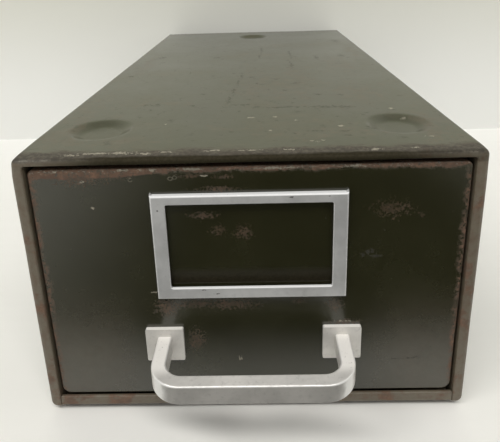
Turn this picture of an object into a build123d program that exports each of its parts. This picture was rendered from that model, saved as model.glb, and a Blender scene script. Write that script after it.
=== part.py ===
"""A single steel card index drawer unit: a folded sheet case on three pressed feet, a drawer with a
pressed front, an aluminium label frame and a cast D handle, and a sliding card follower inside.
X is right, the drawer opens towards -Y, +Z is up. Lengths are millimetres. The origin is on the
surface that the unit stands on, under the middle of its bounding box."""

import os
from math import atan2, cos, radians, sin, tan

from build123d import *

os.makedirs("parts", exist_ok=True)

# Case
case_width = 212.0
case_depth = 413.0
case_top = 140.5
side_foot = 2.0            # lower edge of the side walls, above the floor
sheet = 1.0
top_bend = 2.5             # outside radius between the top and the sides
front_bend = 2.4           # outside radius of the rim's front edge
foot_bend = 3.5            # outside radius under the side walls
rim_side = 5.6             # width of the folded rim at the sides
rim_top = 3.6              # width of the folded rim under the top
rim_return = 9.0           # depth of the rim's inward return
foot_flange = 12.0         # side walls' lower flange, folded in under the floor sheet
opening_corner = 1.5
opening_edge = 0.8         # radius round the opening's edge

# Drawn dimples in the top and drawn feet in the floor, which nest when units are stacked
draw_depth = 3.0
draw_bend = 1.4
dimple_mouth = 15.5
dimple_floor = 11.0
foot_mouth = 13.0
foot_floor = 9.0
stack_x = 76.5
stack_front = 40.5         # front pair, behind the case's front
stack_rear = 372.0         # rear one, behind the case's front

# Floor sheet and its front rim
base_rim_height = 5.7
base_rim_thick = 2.2
base_rim_set = 0.2         # rim's face behind the side rims' face
base_rim_lip = 0.9         # radius along its upper edges
base_rim_foot = 1.5        # radius under its front

# Inside of the case
back_set = 1.0             # back panel's outer face ahead of the case's rear edge
back_flange = 12.0
rail_web = 13.0            # width of the runners' and kicker rails' ledges
rail_lip = 4.0
rail_bend = 0.6
runner_near = 18.0         # front end of the runners
runner_flange = 16.0
kicker_near = 50.0         # front end of the kicker rails
kicker_flange = 14.0
slide_gap = 0.3            # between a runner and the tray above it
kicker_gap = 0.6           # between the tray's hem and the kicker rail above it
buffer_x = 60.0
buffer_z = 45.0
buffer_radius = 8.0
buffer_gap = 0.4           # between a buffer and the closed drawer's back
leaf_thick = 0.8
leaf_half_width = 8.0
leaf_top = 9.2
leaf_near = 36.0           # front end of the stop spring
leaf_flat = 52.0           # where its leaf starts to rise
leaf_rivets = (41.0, 48.0)

# Drawer
front_recess = 1.5         # pan's face behind the rim's face
pan_width = 198.6
pan_low = 9.8
pan_top = 134.6
pan_depth = 14.0
pan_edge = 0.9             # radius round the pan's face
pan_top_corner = 3.0
pan_low_corner = 4.5
liner_flange = 8.0
tray_width = 190.0
tray_low = 10.5
tray_top = 75.0
tray_hem = 3.6             # outward hem along the tray's sides
tray_hem_drop = 4.0
tray_bend = 1.2
tray_tab = 8.0             # weld tabs behind the liner
tray_end = 402.0           # rear end of the tray, behind the case's front
shoulder_top = 110.0       # tray sides rise to this beside the front
shoulder_end = 45.0
back_flange_depth = 10.0   # flanges of the drawer's back
hook_half_width = 12.0
hook_low = 6.5
travel = 335.0             # full opening

# Label frame
frame_width = 89.5
frame_low = 67.8
frame_top = 121.8
frame_proud = 2.7          # thickness over the drawer's face
window_width = 76.0
window_low = 73.8
window_top = 117.3
label_slot = 1.3           # gap for the label behind the frame's inner lips
label_groove = 2.6         # how far the gap runs out under the lips
frame_edge = 1.0
ear_height = 0.9           # small ears left at the frame's top corners
ear_width = 1.4
frame_pin_x = 42.4
frame_pin_z = (78.0, 112.0)
frame_pin_radius = 1.2
clip_radius = 3.5

# Handle
handle_centres = 86.9
handle_z = 40.9
handle_reach = 30.7        # bar's front, ahead of the case's front
bar_thick = 6.8
bar_height = 9.8
handle_bend = 15.0         # outside radius of the bar's corners
plate_width = 18.6
plate_height = 18.2
plate_thick = 2.0
bar_edge = 1.0             # radius along the bar's edges
plate_corner = 0.8
screw_radius = 1.9
screw_hole = 2.15
screw_depth = 9.5          # into the handle's leg from the pan's face
head_radius = 3.6
head_height = 2.4
washer_radius = 4.6
washer_thick = 0.8
access_radius = 6.0        # holes in the liner that the screws go in through

# Card follower
track_width = 22.0
track_height = 6.0
track_slot = 10.0
track_near = 25.0
track_far = 391.0
track_play = 0.3
follower_at = 326.0        # foot of the follower plate, behind the case's front
follower_width = 150.0
follower_height = 90.0
follower_lean = 12.0       # degrees
follower_sheet = 1.2
follower_corner = 12.0
follower_flange = 6.0
finger_notch = 13.0
carriage_length = 29.0
saddle_half_width = 16.0
ear_gap = 20.8             # between the carriage's two ears
ear_thick = 1.6
ear_radius = 6.5
pin_radius = 2.5
pin_behind = 19.0          # lever pin, behind the plate's foot
pin_z = 38.0
running = 0.05             # radial clearance of the pin in the lever
lever_width = 19.8
lever_sheet = 1.5
lever_bend = 2.5
lever_rise = 69.0          # from the pin up to the thumb rest
lever_lean = 8.5
thumb_length = 12.0
thumb_fall = 4.0
lever_foot = 12.5          # reach of the foot behind the web
rivet_radius = 1.5
rivet_head = 2.6
wire_radius = 0.6
coil_radius = 3.75         # to the middle of the wire
coil_pitch = 2.0
coil_turns = 3

total_depth = case_depth + handle_reach
front_y = handle_reach - total_depth / 2
back_y = front_y + case_depth
base_low = side_foot + sheet
base_top = base_low + sheet
opening_half = case_width / 2 - rim_side
opening_top = case_top - rim_top
tray_floor = tray_low + sheet
centred_low = (Align.CENTER, Align.CENTER, Align.MIN)
centred_front = (Align.CENTER, Align.MIN, Align.MIN)


def depth(distance):
    """Y of a point this far behind the case's front."""
    return front_y + distance


def facing(distance):
    """Sketch plane parallel to the front: X right, Z up, normal towards the user."""
    return Plane.XZ.offset(-depth(distance))


def block(width, near, far, low, high, centre_x=0.0, mode=Mode.ADD):
    """Box between two depths and two heights, added to the part being built or cut from it."""
    with Locations((centre_x, depth(near), low)):
        Box(width, far - near, high - low, align=centred_front, mode=mode)


def folded_block(width, near, far, low, high, top_radius, foot_radius, front_radius):
    """Block with the case's folded long edges and its rounded front edges."""
    with BuildPart() as body:
        block(width, near, far, low, high)
        fillet(body.edges().filter_by(Axis.Y).group_by(Axis.Z)[-1], radius=top_radius)
        fillet(body.edges().filter_by(Axis.Y).group_by(Axis.Z)[0], radius=foot_radius)
        fillet(body.faces().sort_by(Axis.Y)[0].edges(), radius=front_radius)
    return body.part


def drawn_cup(mouth, floor):
    """Round cup drawn down out of a sheet whose upper face is at z = 0."""
    shift = sheet * tan(atan2(draw_depth, mouth - floor) / 2)
    edge = mouth + 1.0
    with BuildPart() as cup:
        with BuildSketch(Plane.XZ):
            with BuildLine():
                FilletPolyline(
                    (0, -draw_depth), (floor, -draw_depth), (mouth, 0), (edge, 0),
                    radius=draw_bend)
                FilletPolyline(
                    (0, -draw_depth - sheet), (floor + shift, -draw_depth - sheet),
                    (mouth + shift, -sheet), (edge, -sheet), radius=draw_bend)
                Line((edge, 0), (edge, -sheet))
                Line((0, -draw_depth), (0, -draw_depth - sheet))
            make_face()
        revolve(axis=Axis.Z)
    return cup.part


def stack_points(z):
    """Centres of the three dimples or feet at a height."""
    return [(-stack_x, depth(stack_front), z), (stack_x, depth(stack_front), z), (0, depth(stack_rear), z)]


def press_cups(mouth, floor, z):
    """Cuts the sheet at the three places and draws a cup in each."""
    with Locations(*stack_points(z)):
        Cylinder(mouth + 0.9, 4 * sheet, mode=Mode.SUBTRACT)
    cup = drawn_cup(mouth, floor)
    with Locations(*stack_points(z)):
        add(cup)


def folded_section(plane, points, radius, thick, side):
    """Section of a folded sheet: a bent line in a plane, thickened to one side."""
    with BuildSketch(plane) as section:
        with BuildLine():
            FilletPolyline(*points, radius=radius)
            offset(amount=thick, side=side)
        make_face()
    return section.sketch


def rods(points, radius, near, far, mode=Mode.ADD):
    """Round rods or holes along Y between two depths, at points given as X and Z."""
    for x, z in points:
        with Locations(Location((x, depth(near), z), (-90, 0, 0))):
            Cylinder(radius, far - near, align=centred_low, mode=mode)


def rail(side, points, thick_side, near, far):
    """Folded rail along the case, drawn for the right wall and mirrored for the left."""
    flip = {Side.LEFT: Side.RIGHT, Side.RIGHT: Side.LEFT}
    section = folded_section(
        facing(near), [(side * x, z) for x, z in points], rail_bend,
        sheet, thick_side if side > 0 else flip[thick_side])
    with BuildPart() as body:
        extrude(section, amount=near - far)
    return body


def finish(builder, name):
    """Labels the piece and writes its file."""
    builder.part.label = name
    export_step(builder.part, f"parts/{name}.step")


# Case wrapper
with BuildPart() as case_wrapper:
    add(folded_block(case_width, 0, case_depth, side_foot, case_top, top_bend, foot_bend, front_bend))
    add(
        folded_block(
            case_width - 2 * sheet, sheet, case_depth + 10, base_low, case_top - sheet,
            top_bend - sheet, foot_bend - sheet, front_bend - sheet),
        mode=Mode.SUBTRACT)
    with BuildSketch(facing(-1)) as front_opening:
        with Locations((0, side_foot - 1)):
            Rectangle(
                2 * opening_half, opening_top - side_foot + 1, align=(Align.CENTER, Align.MIN))
        fillet(front_opening.vertices().group_by(Axis.Y)[-1], radius=opening_corner)
    extrude(amount=-(1 + 2.2 * sheet), mode=Mode.SUBTRACT)
    with Locations((0, depth(sheet), side_foot - 1)):
        Box(
            2 * (case_width / 2 - sheet - foot_flange), case_depth, 1 + 1.5 * sheet,
            align=centred_front, mode=Mode.SUBTRACT)
    rim_return_section = folded_section(
        facing(0.5 * sheet),
        [(-opening_half, base_low), (-opening_half, opening_top), (opening_half, opening_top),
         (opening_half, base_low)],
        opening_corner, sheet, Side.LEFT)
    extrude(rim_return_section, amount=0.5 * sheet - rim_return)
    opening_edges = case_wrapper.faces().sort_by(Axis.Y)[0].edges().filter_by(
        lambda edge: abs(edge.center().X) < opening_half + 0.1
        and edge.center().Z < opening_top + 0.1)
    fillet(opening_edges, radius=opening_edge)
    press_cups(dimple_mouth, dimple_floor, case_top)
finish(case_wrapper, "case_wrapper")

# Floor sheet with its front rim and three feet
base_half = case_width / 2 - foot_bend - 0.1
rim_half = opening_half - 0.3
rim_back = base_rim_set + base_rim_thick
with BuildPart() as base_panel:
    block(2 * base_half, rim_return + 0.5, case_depth - back_set, base_low, base_top)
    block(2 * rim_half, rim_back - 1, rim_return + 0.6, base_low, base_top)
    with BuildSketch(Plane.YZ.offset(-rim_half)) as rim_section:
        with Locations((depth(base_rim_set), base_low)):
            Rectangle(base_rim_thick, base_rim_height, align=(Align.MIN, Align.MIN))
        fillet(rim_section.vertices().group_by(Axis.Y)[-1], radius=base_rim_lip)
        fillet(
            rim_section.vertices().group_by(Axis.Y)[0].sort_by(Axis.X)[0], radius=base_rim_foot)
    extrude(amount=2 * rim_half)
    press_cups(foot_mouth, foot_floor, base_top)
    with Locations(*[(0, depth(d), base_low) for d in leaf_rivets]):
        Cylinder(rivet_radius, 4 * sheet, mode=Mode.SUBTRACT)
finish(base_panel, "base_panel")

# Back panel, a shallow pan with its flanges turned forwards
back_low = base_top + 0.05
with BuildPart() as back_panel:
    block(
        case_width - 2 * sheet - 0.1, case_depth - back_set - back_flange, case_depth - back_set,
        back_low, case_top - sheet - 0.05)
    fillet(back_panel.edges().filter_by(Axis.Y).group_by(Axis.Z)[-1], radius=top_bend - sheet)
    fillet(back_panel.edges().filter_by(Axis.Y).group_by(Axis.Z)[0], radius=foot_bend - sheet)
    offset(amount=-sheet, openings=back_panel.faces().sort_by(Axis.Y)[0])
finish(back_panel, "back_panel")

# Runners under the tray and kicker rails over its hems
wall_x = case_width / 2 - sheet
ledge_x = wall_x - sheet - rail_web
runner_top = tray_low - slide_gap
kicker_low = tray_top + kicker_gap
rail_far = case_depth - back_set - back_flange - 2
runner_points = [
    (ledge_x, runner_top - rail_lip), (ledge_x, runner_top), (wall_x - sheet, runner_top),
    (wall_x - sheet, runner_top + runner_flange)]
kicker_points = [
    (ledge_x, kicker_low + rail_lip), (ledge_x, kicker_low), (wall_x, kicker_low),
    (wall_x, kicker_low + kicker_flange)]
for side, name in ((-1, "left"), (1, "right")):
    finish(rail(side, runner_points, Side.RIGHT, runner_near, rail_far), f"{name}_runner")
    finish(rail(side, kicker_points, Side.LEFT, kicker_near, rail_far), f"{name}_kicker_rail")

# Leaf spring on the floor that the tray's hook meets when the drawer is fully open
leaf_tip = tray_end - travel - 0.4
with BuildPart() as stop_spring:
    leaf_section = folded_section(
        Plane.YZ.offset(-leaf_half_width),
        [(depth(leaf_near), base_top), (depth(leaf_flat), base_top),
         (depth(leaf_tip - 3), leaf_top - leaf_thick), (depth(leaf_tip), leaf_top - leaf_thick)],
        1.5, leaf_thick, Side.LEFT)
    extrude(leaf_section, amount=2 * leaf_half_width)
    with Locations(*[(0, depth(d), base_top) for d in leaf_rivets]):
        Cylinder(rivet_radius, 4 * sheet, mode=Mode.SUBTRACT)
finish(stop_spring, "stop_spring")


def rivet(x, y, low, high):
    """Round rivet along Z with a coned head on top."""
    with Locations((x, y, low)):
        Cylinder(rivet_radius, high - low, align=centred_low)
    with Locations((x, y, high)):
        Cone(rivet_head, 0.6 * rivet_head, 0.5 * rivet_head, align=centred_low)


with BuildPart() as stop_spring_rivets:
    for d in leaf_rivets:
        rivet(0, depth(d), base_low, base_top + leaf_thick)
        with Locations((0, depth(d), base_low - 0.5)):
            Cylinder(rivet_head, 0.5, align=centred_low)
finish(stop_spring_rivets, "stop_spring_rivets")

# Rubber buffers on the back panel, which the closed drawer's back stops against
buffer_near = tray_end + sheet + buffer_gap
with BuildPart() as rear_buffers:
    for x in (-buffer_x, buffer_x):
        with Locations(Location((x, depth(case_depth - back_set - sheet), buffer_z), (90, 0, 0))):
            Cone(
                buffer_radius, 0.75 * buffer_radius, case_depth - back_set - sheet - buffer_near,
                align=centred_low)
finish(rear_buffers, "rear_buffers")

# Drawer front, a pressed pan
pan_far = front_recess + pan_depth
screw_points = [(-handle_centres / 2, handle_z), (handle_centres / 2, handle_z)]
frame_pin_points = [(x, z) for x in (-frame_pin_x, frame_pin_x) for z in frame_pin_z]
with BuildPart() as drawer_front:
    block(pan_width, front_recess, pan_far, pan_low, pan_top)
    fillet(drawer_front.edges().filter_by(Axis.Y).group_by(Axis.Z)[-1], radius=pan_top_corner)
    fillet(drawer_front.edges().filter_by(Axis.Y).group_by(Axis.Z)[0], radius=pan_low_corner)
    fillet(drawer_front.faces().sort_by(Axis.Y)[0].edges(), radius=pan_edge)
    offset(amount=-sheet, openings=drawer_front.faces().sort_by(Axis.Y)[-1])
    rods(screw_points, screw_hole, front_recess - 1, front_recess + 3, Mode.SUBTRACT)
    rods(frame_pin_points, frame_pin_radius + 0.1, front_recess - 1, front_recess + 3, Mode.SUBTRACT)
finish(drawer_front, "drawer_front")

# Liner that closes the pan from inside the drawer
liner_far = pan_far - 0.5
with BuildPart() as drawer_front_liner:
    block(
        pan_width - 2 * sheet - 0.1, liner_far - liner_flange, liner_far,
        pan_low + sheet + 0.05, pan_top - sheet - 0.05)
    fillet(
        drawer_front_liner.edges().filter_by(Axis.Y).group_by(Axis.Z)[-1],
        radius=pan_top_corner - sheet)
    fillet(
        drawer_front_liner.edges().filter_by(Axis.Y).group_by(Axis.Z)[0],
        radius=pan_low_corner - sheet)
    offset(amount=-sheet, openings=drawer_front_liner.faces().sort_by(Axis.Y)[0])
    rods(screw_points, access_radius, liner_far - 2, liner_far + 1, Mode.SUBTRACT)
finish(drawer_front_liner, "drawer_front_liner")

# Tray, one folded sheet, with hems along the sides and shoulders that rise beside the front
tray_half = tray_width / 2
tray_inner = tray_half - sheet
hem_x = tray_half + tray_hem
with BuildPart() as drawer_tray:
    tray_section = folded_section(
        facing(pan_far),
        [(-hem_x, tray_top - tray_hem_drop), (-hem_x, tray_top), (-tray_inner, tray_top),
         (-tray_inner, tray_floor), (tray_inner, tray_floor), (tray_inner, tray_top),
         (hem_x, tray_top), (hem_x, tray_top - tray_hem_drop)],
        tray_bend, sheet, Side.RIGHT)
    extrude(tray_section, amount=pan_far - tray_end)
    for x in (-tray_half, tray_inner):
        with BuildSketch(Plane.YZ.offset(x)):
            with BuildLine():
                Polyline(
                    (depth(shoulder_end), tray_top - 0.2), (depth(shoulder_end), tray_top - 2),
                    (depth(pan_far), tray_top - 2), (depth(pan_far), shoulder_top),
                    (depth(liner_far + 6), shoulder_top))
                ThreePointArc(
                    (depth(liner_far + 6), shoulder_top), (depth(liner_far + 10), tray_top + 9),
                    (depth(shoulder_end), tray_top - 0.2))
            make_face()
        extrude(amount=sheet)
    for x in (-tray_half + tray_tab / 2, tray_half - tray_tab / 2):
        block(tray_tab, liner_far, liner_far + sheet, tray_floor + 2, shoulder_top - 4, x)
    block(
        2 * (tray_inner - tray_tab - 4), liner_far, liner_far + sheet,
        tray_floor - 0.2, tray_floor + tray_tab)
finish(drawer_tray, "drawer_tray")

# Drawer's back, flanged into the tray, with the hook that meets the stop spring
with BuildPart() as drawer_back:
    block(tray_width - 0.2, tray_end, tray_end + sheet, tray_low + 0.1, tray_top - 0.1)
    fillet(drawer_back.edges().filter_by(Axis.Y), radius=2.0)
    for side in (-1, 1):
        block(
            sheet, tray_end - back_flange_depth, tray_end + 0.5 * sheet,
            tray_floor + 2, tray_top - 6, side * (tray_inner - 0.55 * sheet))
    block(
        2 * tray_inner - 10, tray_end - back_flange_depth, tray_end + 0.5 * sheet,
        tray_floor, tray_floor + sheet)
    block(2 * hook_half_width, tray_end, tray_end + sheet, hook_low, tray_low + 1)
finish(drawer_back, "drawer_back")

# Label frame
frame_near = front_recess - frame_proud
window_centre = (window_low + window_top) / 2
with BuildPart() as label_frame:
    block(frame_width, frame_near, front_recess, frame_low, frame_top)
    fillet(label_frame.faces().sort_by(Axis.Y)[0].edges(), radius=frame_edge)
    with BuildSketch(facing(frame_near - 1)):
        with Locations((0, window_centre)):
            RectangleRounded(window_width, window_top - window_low, 1.0)
    extrude(amount=-(frame_proud + 2), mode=Mode.SUBTRACT)
    with BuildSketch(facing(front_recess - label_slot)):
        with Locations((0, window_centre)):
            Rectangle(
                window_width + 2 * label_groove, window_top - window_low + 2 * label_groove)
    extrude(amount=-(label_slot + 1), mode=Mode.SUBTRACT)
    window_edges = label_frame.faces().sort_by(Axis.Y)[0].inner_wires()[0].edges()
    fillet(window_edges, radius=0.5)
    for side in (-1, 1):
        with BuildSketch(facing(front_recess - 1.6)):
            with BuildLine():
                Polyline(
                    (side * (frame_width / 2 - ear_width), frame_top - 0.3),
                    (side * frame_width / 2, frame_top - 1.2),
                    (side * frame_width / 2, frame_top + ear_height), close=True)
            make_face()
        extrude(amount=-1.6)
    rods(frame_pin_points, frame_pin_radius, front_recess - 0.5, front_recess + sheet + 1.7)
finish(label_frame, "label_frame")

# Push-on clips that hold the frame's pins behind the pan
clip_near = front_recess + sheet
with BuildPart() as label_frame_clips:
    for x, z in frame_pin_points:
        with BuildSketch(Plane((x, depth(clip_near), z), x_dir=(1, 0, 0), z_dir=(0, 0, 1))):
            with BuildLine():
                Polyline(
                    (frame_pin_radius, 0.6), (0.55 * clip_radius, 0.05), (clip_radius, 0.05),
                    (clip_radius, 0.45), (0.62 * clip_radius, 0.45), (frame_pin_radius, 1.05),
                    close=True)
            make_face()
        revolve(axis=Axis((x, depth(clip_near), z), (0, 1, 0)))
finish(label_frame_clips, "label_frame_clips")

# Handle, a cast D with a square plate at each leg
leg_outer = (handle_centres + bar_thick) / 2
plate_near = front_recess - plate_thick
with BuildPart() as drawer_handle:
    bar_section = folded_section(
        Plane.XY.offset(handle_z - bar_height / 2),
        [(-leg_outer, depth(plate_near)), (-leg_outer, depth(-handle_reach)),
         (leg_outer, depth(-handle_reach)), (leg_outer, depth(plate_near))],
        handle_bend, bar_thick, Side.LEFT)
    extrude(bar_section, amount=bar_height)
    fillet(drawer_handle.faces().filter_by(Axis.Z).edges().filter_by(
        lambda edge: edge.center().Y < depth(plate_near) - 0.01), radius=bar_edge)
    for side in (-1, 1):
        with BuildSketch(facing(plate_near)):
            with Locations((side * handle_centres / 2, handle_z)):
                RectangleRounded(plate_width, plate_height, plate_corner)
        extrude(amount=-plate_thick)
    rods(screw_points, screw_radius, front_recess - screw_depth, front_recess + 1, Mode.SUBTRACT)
finish(drawer_handle, "drawer_handle")

# Screws and washers inside the pan
washer_near = front_recess + sheet
head_near = washer_near + washer_thick
with BuildPart() as handle_washers:
    rods(screw_points, washer_radius, washer_near, head_near)
    rods(screw_points, screw_hole, washer_near - 1, head_near + 1, Mode.SUBTRACT)
finish(handle_washers, "handle_washers")
with BuildPart() as handle_screws:
    rods(screw_points, screw_radius, front_recess - screw_depth, head_near)
    for x, z in screw_points:
        with Locations(Location((x, depth(head_near), z), (-90, 0, 0))):
            Cylinder(head_radius, head_height / 2, align=centred_low)
        with Locations(Location((x, depth(head_near + head_height / 2), z), (-90, 0, 0))):
            Cone(head_radius, 0.6 * head_radius, head_height / 2, align=centred_low)
        block(
            1.0, head_near + head_height - 1.2, head_near + head_height + 1, z - 4, z + 4, x,
            Mode.SUBTRACT)
finish(handle_screws, "handle_screws")

# Track along the tray's floor, a rail with its lips turned in, closed at both ends
track_half = track_width / 2
track_high = tray_floor + track_height
with BuildPart() as follower_track:
    track_section = folded_section(
        facing(track_near),
        [(-track_slot / 2, track_high), (-track_half, track_high), (-track_half, tray_floor),
         (track_half, tray_floor), (track_half, track_high), (track_slot / 2, track_high)],
        1.3, sheet, Side.LEFT)
    extrude(track_section, amount=track_near - track_far)
    for d in (track_near, track_far - sheet):
        block(track_slot, d, d + sheet, tray_floor + 0.5 * sheet, track_high - 1.5 * sheet)
finish(follower_track, "follower_track")

# Follower's carriage: a foot in the track, a saddle over it and two ears for the lever's pin
foot_low = tray_floor + sheet + track_play
foot_high = track_high - sheet - track_play
saddle_low = track_high + 2 * track_play
saddle_high = saddle_low + 2.0
carriage_end = follower_at + carriage_length
pin_depth = follower_at + pin_behind
rivet_x = saddle_half_width - 3.5
rivet_depth = follower_at + 6.5
coil_half = coil_pitch * coil_turns / 2
with BuildPart() as follower_carriage:
    block(track_width - 2 * sheet - 4 * track_play, follower_at, carriage_end, foot_low, foot_high)
    block(track_slot - 3 * track_play, follower_at, carriage_end, foot_high - 1, saddle_low + 1)
    block(2 * saddle_half_width, follower_at, carriage_end, saddle_low, saddle_high)
    for x in (-ear_gap / 2 - ear_thick, ear_gap / 2):
        with BuildSketch(Plane.YZ.offset(x)):
            with Locations((depth(pin_depth), pin_z)):
                Circle(ear_radius)
                Rectangle(
                    2 * ear_radius, pin_z - saddle_high + 1, align=(Align.CENTER, Align.MAX))
                Circle(pin_radius, mode=Mode.SUBTRACT)
        extrude(amount=ear_thick)
    for x in (-rivet_x, rivet_x):
        with Locations((x, depth(rivet_depth), saddle_low)):
            Cylinder(rivet_radius, 5, mode=Mode.SUBTRACT)
    block(
        4.0, pin_depth + coil_radius + wire_radius + 0.1, pin_depth + coil_radius + wire_radius + 1.7,
        saddle_high - 0.5, saddle_high + 5, -coil_half)
finish(follower_carriage, "follower_carriage")

# Follower plate, leaning back, with flanged sides and a foot riveted to the saddle
plate_face = Plane(
    (0, depth(follower_at), saddle_high), x_dir=(1, 0, 0),
    z_dir=(0, -cos(radians(follower_lean)), sin(radians(follower_lean))))
with BuildPart() as follower_plate:
    with BuildSketch(plate_face) as plate_outline:
        Rectangle(follower_width, follower_height, align=(Align.CENTER, Align.MIN))
        fillet(plate_outline.vertices().group_by(Axis.Y)[-1], radius=follower_corner)
        with Locations((0, follower_height)):
            Circle(finger_notch, mode=Mode.SUBTRACT)
        fillet(plate_outline.vertices().group_by(Axis.Y)[-1].sort_by(Axis.X)[1:3], radius=4)
    extrude(amount=-follower_sheet)
    for x in (-(follower_width - follower_sheet) / 2, (follower_width - follower_sheet) / 2):
        with BuildSketch(plate_face):
            with Locations((x, follower_height / 2 - 4)):
                Rectangle(follower_sheet, follower_height - 2 * follower_corner)
        extrude(amount=-follower_flange)
    block(
        2 * saddle_half_width + 4, follower_at + 0.2, follower_at + 11,
        saddle_high, saddle_high + follower_sheet)
    block(
        follower_width + 10, follower_at - 5, follower_at + 15,
        saddle_high - 5, saddle_high, mode=Mode.SUBTRACT)
    for x in (-rivet_x, rivet_x):
        with Locations((x, depth(rivet_depth), saddle_high)):
            Cylinder(rivet_radius, 5, mode=Mode.SUBTRACT)
finish(follower_plate, "follower_plate")

with BuildPart() as follower_rivets:
    for x in (-rivet_x, rivet_x):
        rivet(x, depth(rivet_depth), saddle_low, saddle_high + follower_sheet)
finish(follower_rivets, "follower_rivets")

# Release lever: pinched towards the plate it lifts its foot off the track
web_depth = pin_depth + coil_radius + wire_radius + 1.1
lever_low = track_high + track_play
with BuildPart() as follower_lever:
    web_section = folded_section(
        Plane.YZ.offset(-lever_width / 2),
        [(depth(web_depth + lever_lean + thumb_length), pin_z + lever_rise - thumb_fall),
         (depth(web_depth + lever_lean), pin_z + lever_rise),
         (depth(web_depth), pin_z + 8), (depth(web_depth), pin_z - 5),
         (depth(web_depth + lever_foot), lever_low)],
        lever_bend, lever_sheet, Side.LEFT)
    extrude(web_section, amount=lever_width)
    for x in (-lever_width / 2, lever_width / 2 - lever_sheet):
        with BuildSketch(Plane.YZ.offset(x)):
            with Locations((depth(pin_depth), pin_z)):
                Circle(ear_radius + 0.5)
                Rectangle(
                    web_depth - pin_depth + 0.5, 2 * ear_radius + 1,
                    align=(Align.MIN, Align.CENTER))
                Circle(pin_radius + running, mode=Mode.SUBTRACT)
        extrude(amount=lever_sheet)
finish(follower_lever, "follower_lever")

pin_half = ear_gap / 2 + ear_thick
with BuildPart() as lever_pin:
    with Locations(Location((-pin_half, depth(pin_depth), pin_z), (0, 90, 0))):
        Cylinder(pin_radius, 2 * pin_half, align=centred_low)
    for x in (-pin_half - 1.2, pin_half):
        with Locations(Location((x, depth(pin_depth), pin_z), (0, 90, 0))):
            Cylinder(pin_radius + 1.1, 1.2, align=centred_low)
finish(lever_pin, "lever_pin")

# Torsion spring round the pin, one unbroken wire: a leg up from the carriage's lug, the coil in
# quarter turns, and a leg up the lever's web
coil_axis = Plane((-coil_half, depth(pin_depth), pin_z), x_dir=(0, 1, 0), z_dir=(1, 0, 0))
quarter = radians(90)


def coil_point(angle):
    """Point on the coil's middle line, in the coil's own axes."""
    return (coil_radius * cos(angle), coil_radius * sin(angle), coil_pitch * angle / (4 * quarter))


with BuildPart() as wire:
    with BuildLine() as wire_line:
        Line((coil_radius, saddle_high + 1 - pin_z, 0), coil_point(0))
        for turn in range(4 * coil_turns):
            ThreePointArc(*[coil_point((turn + part) * quarter) for part in (0, 0.5, 1)])
        Line(coil_point(4 * coil_turns * quarter), (coil_radius + 0.9, 14, 2 * coil_half))
    wire_path = wire_line.wires()[0]
    with BuildSketch(Plane(wire_path @ 0, z_dir=wire_path % 0)):
        RegularPolygon(wire_radius, 8)
    sweep(path=wire_path)
with BuildPart() as lever_spring:
    with Locations(coil_axis):
        add(wire.part)
finish(lever_spring, "lever_spring")
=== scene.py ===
"""Card index drawer unit: a folded steel case with worn olive paint, a drawer with a label frame and
a cast D handle, and the card follower inside. Everything is in metres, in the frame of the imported
model; sizes written as *_MM are millimetres in the same frame."""

from math import ceil, exp, pi, radians

import bmesh
import bpy
from bpy.props import FloatProperty, FloatVectorProperty, IntProperty, PointerProperty
from mathutils import Matrix, Vector, noise


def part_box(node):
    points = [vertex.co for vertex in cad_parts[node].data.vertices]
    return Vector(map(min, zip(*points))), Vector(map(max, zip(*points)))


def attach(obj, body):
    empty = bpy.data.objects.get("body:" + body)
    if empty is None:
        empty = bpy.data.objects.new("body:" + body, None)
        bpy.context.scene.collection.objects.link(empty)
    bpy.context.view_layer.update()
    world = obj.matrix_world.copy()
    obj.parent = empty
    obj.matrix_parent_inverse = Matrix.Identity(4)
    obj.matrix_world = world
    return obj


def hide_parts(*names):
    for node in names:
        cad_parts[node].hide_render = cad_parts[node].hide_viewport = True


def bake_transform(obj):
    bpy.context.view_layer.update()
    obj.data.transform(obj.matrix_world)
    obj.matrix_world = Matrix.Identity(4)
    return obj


bl_info = {
    "name": "Card Index Drawer Unit",
    "version": (1, 0, 0),
    "blender": (4, 5, 0),
    "location": "3D View > Sidebar > Card Unit",
    "description": "Builds the looks of a worn card index drawer unit around its packed model",
    "category": "Object",
}

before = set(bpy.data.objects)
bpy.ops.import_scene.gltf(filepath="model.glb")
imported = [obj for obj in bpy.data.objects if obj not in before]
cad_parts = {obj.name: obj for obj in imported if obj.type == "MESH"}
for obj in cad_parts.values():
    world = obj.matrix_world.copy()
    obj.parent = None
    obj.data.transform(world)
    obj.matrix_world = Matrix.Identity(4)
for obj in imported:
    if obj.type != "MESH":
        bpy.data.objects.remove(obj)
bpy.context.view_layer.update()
MM = 0.001
CASE_LOW, CASE_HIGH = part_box("case_wrapper")
FACE_LOW, FACE_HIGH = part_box("drawer_front")
FRONT_Y = CASE_LOW.y
TOP_Z = CASE_HIGH.z
PIN_LOW, PIN_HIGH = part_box("lever_pin")
PIN_Y = (PIN_LOW.y + PIN_HIGH.y) / 2
PIN_Z = (PIN_LOW.z + PIN_HIGH.z) / 2

# Pushes in the case's sheet: centre, reach and push, millimetres
CASE_DENTS_MM = (
    ((-106, -187, 138.5), (4, 14, 4), (0.6, 0, 0)),
    ((-106, -120, 118), (5, 40, 14), (0.5, 0, 0)),
    ((-106, -60, 70), (5, 70, 40), (0.7, 0, 0)),
    ((106, -186, 136), (4, 12, 6), (-0.3, 0, 0)),
    ((106, 40, 70), (5, 60, 35), (-0.7, 0, 0)),
    ((15, -70, 140), (55, 75, 5), (0, 0, -0.6)),
    ((-60, 60, 140), (40, 60, 5), (0, 0, -0.4)),
    ((48, -188, 140), (20, 8, 5), (0, 0, -0.45)),
    ((-40, -188, 140), (24, 8, 5), (0, 0, -0.3)),
    ((-103, -191, 96), (5, 4, 12), (0, 0.35, 0)),
    ((103, -191, 52), (5, 4, 14), (0, 0.3, 0)),
)

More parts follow.
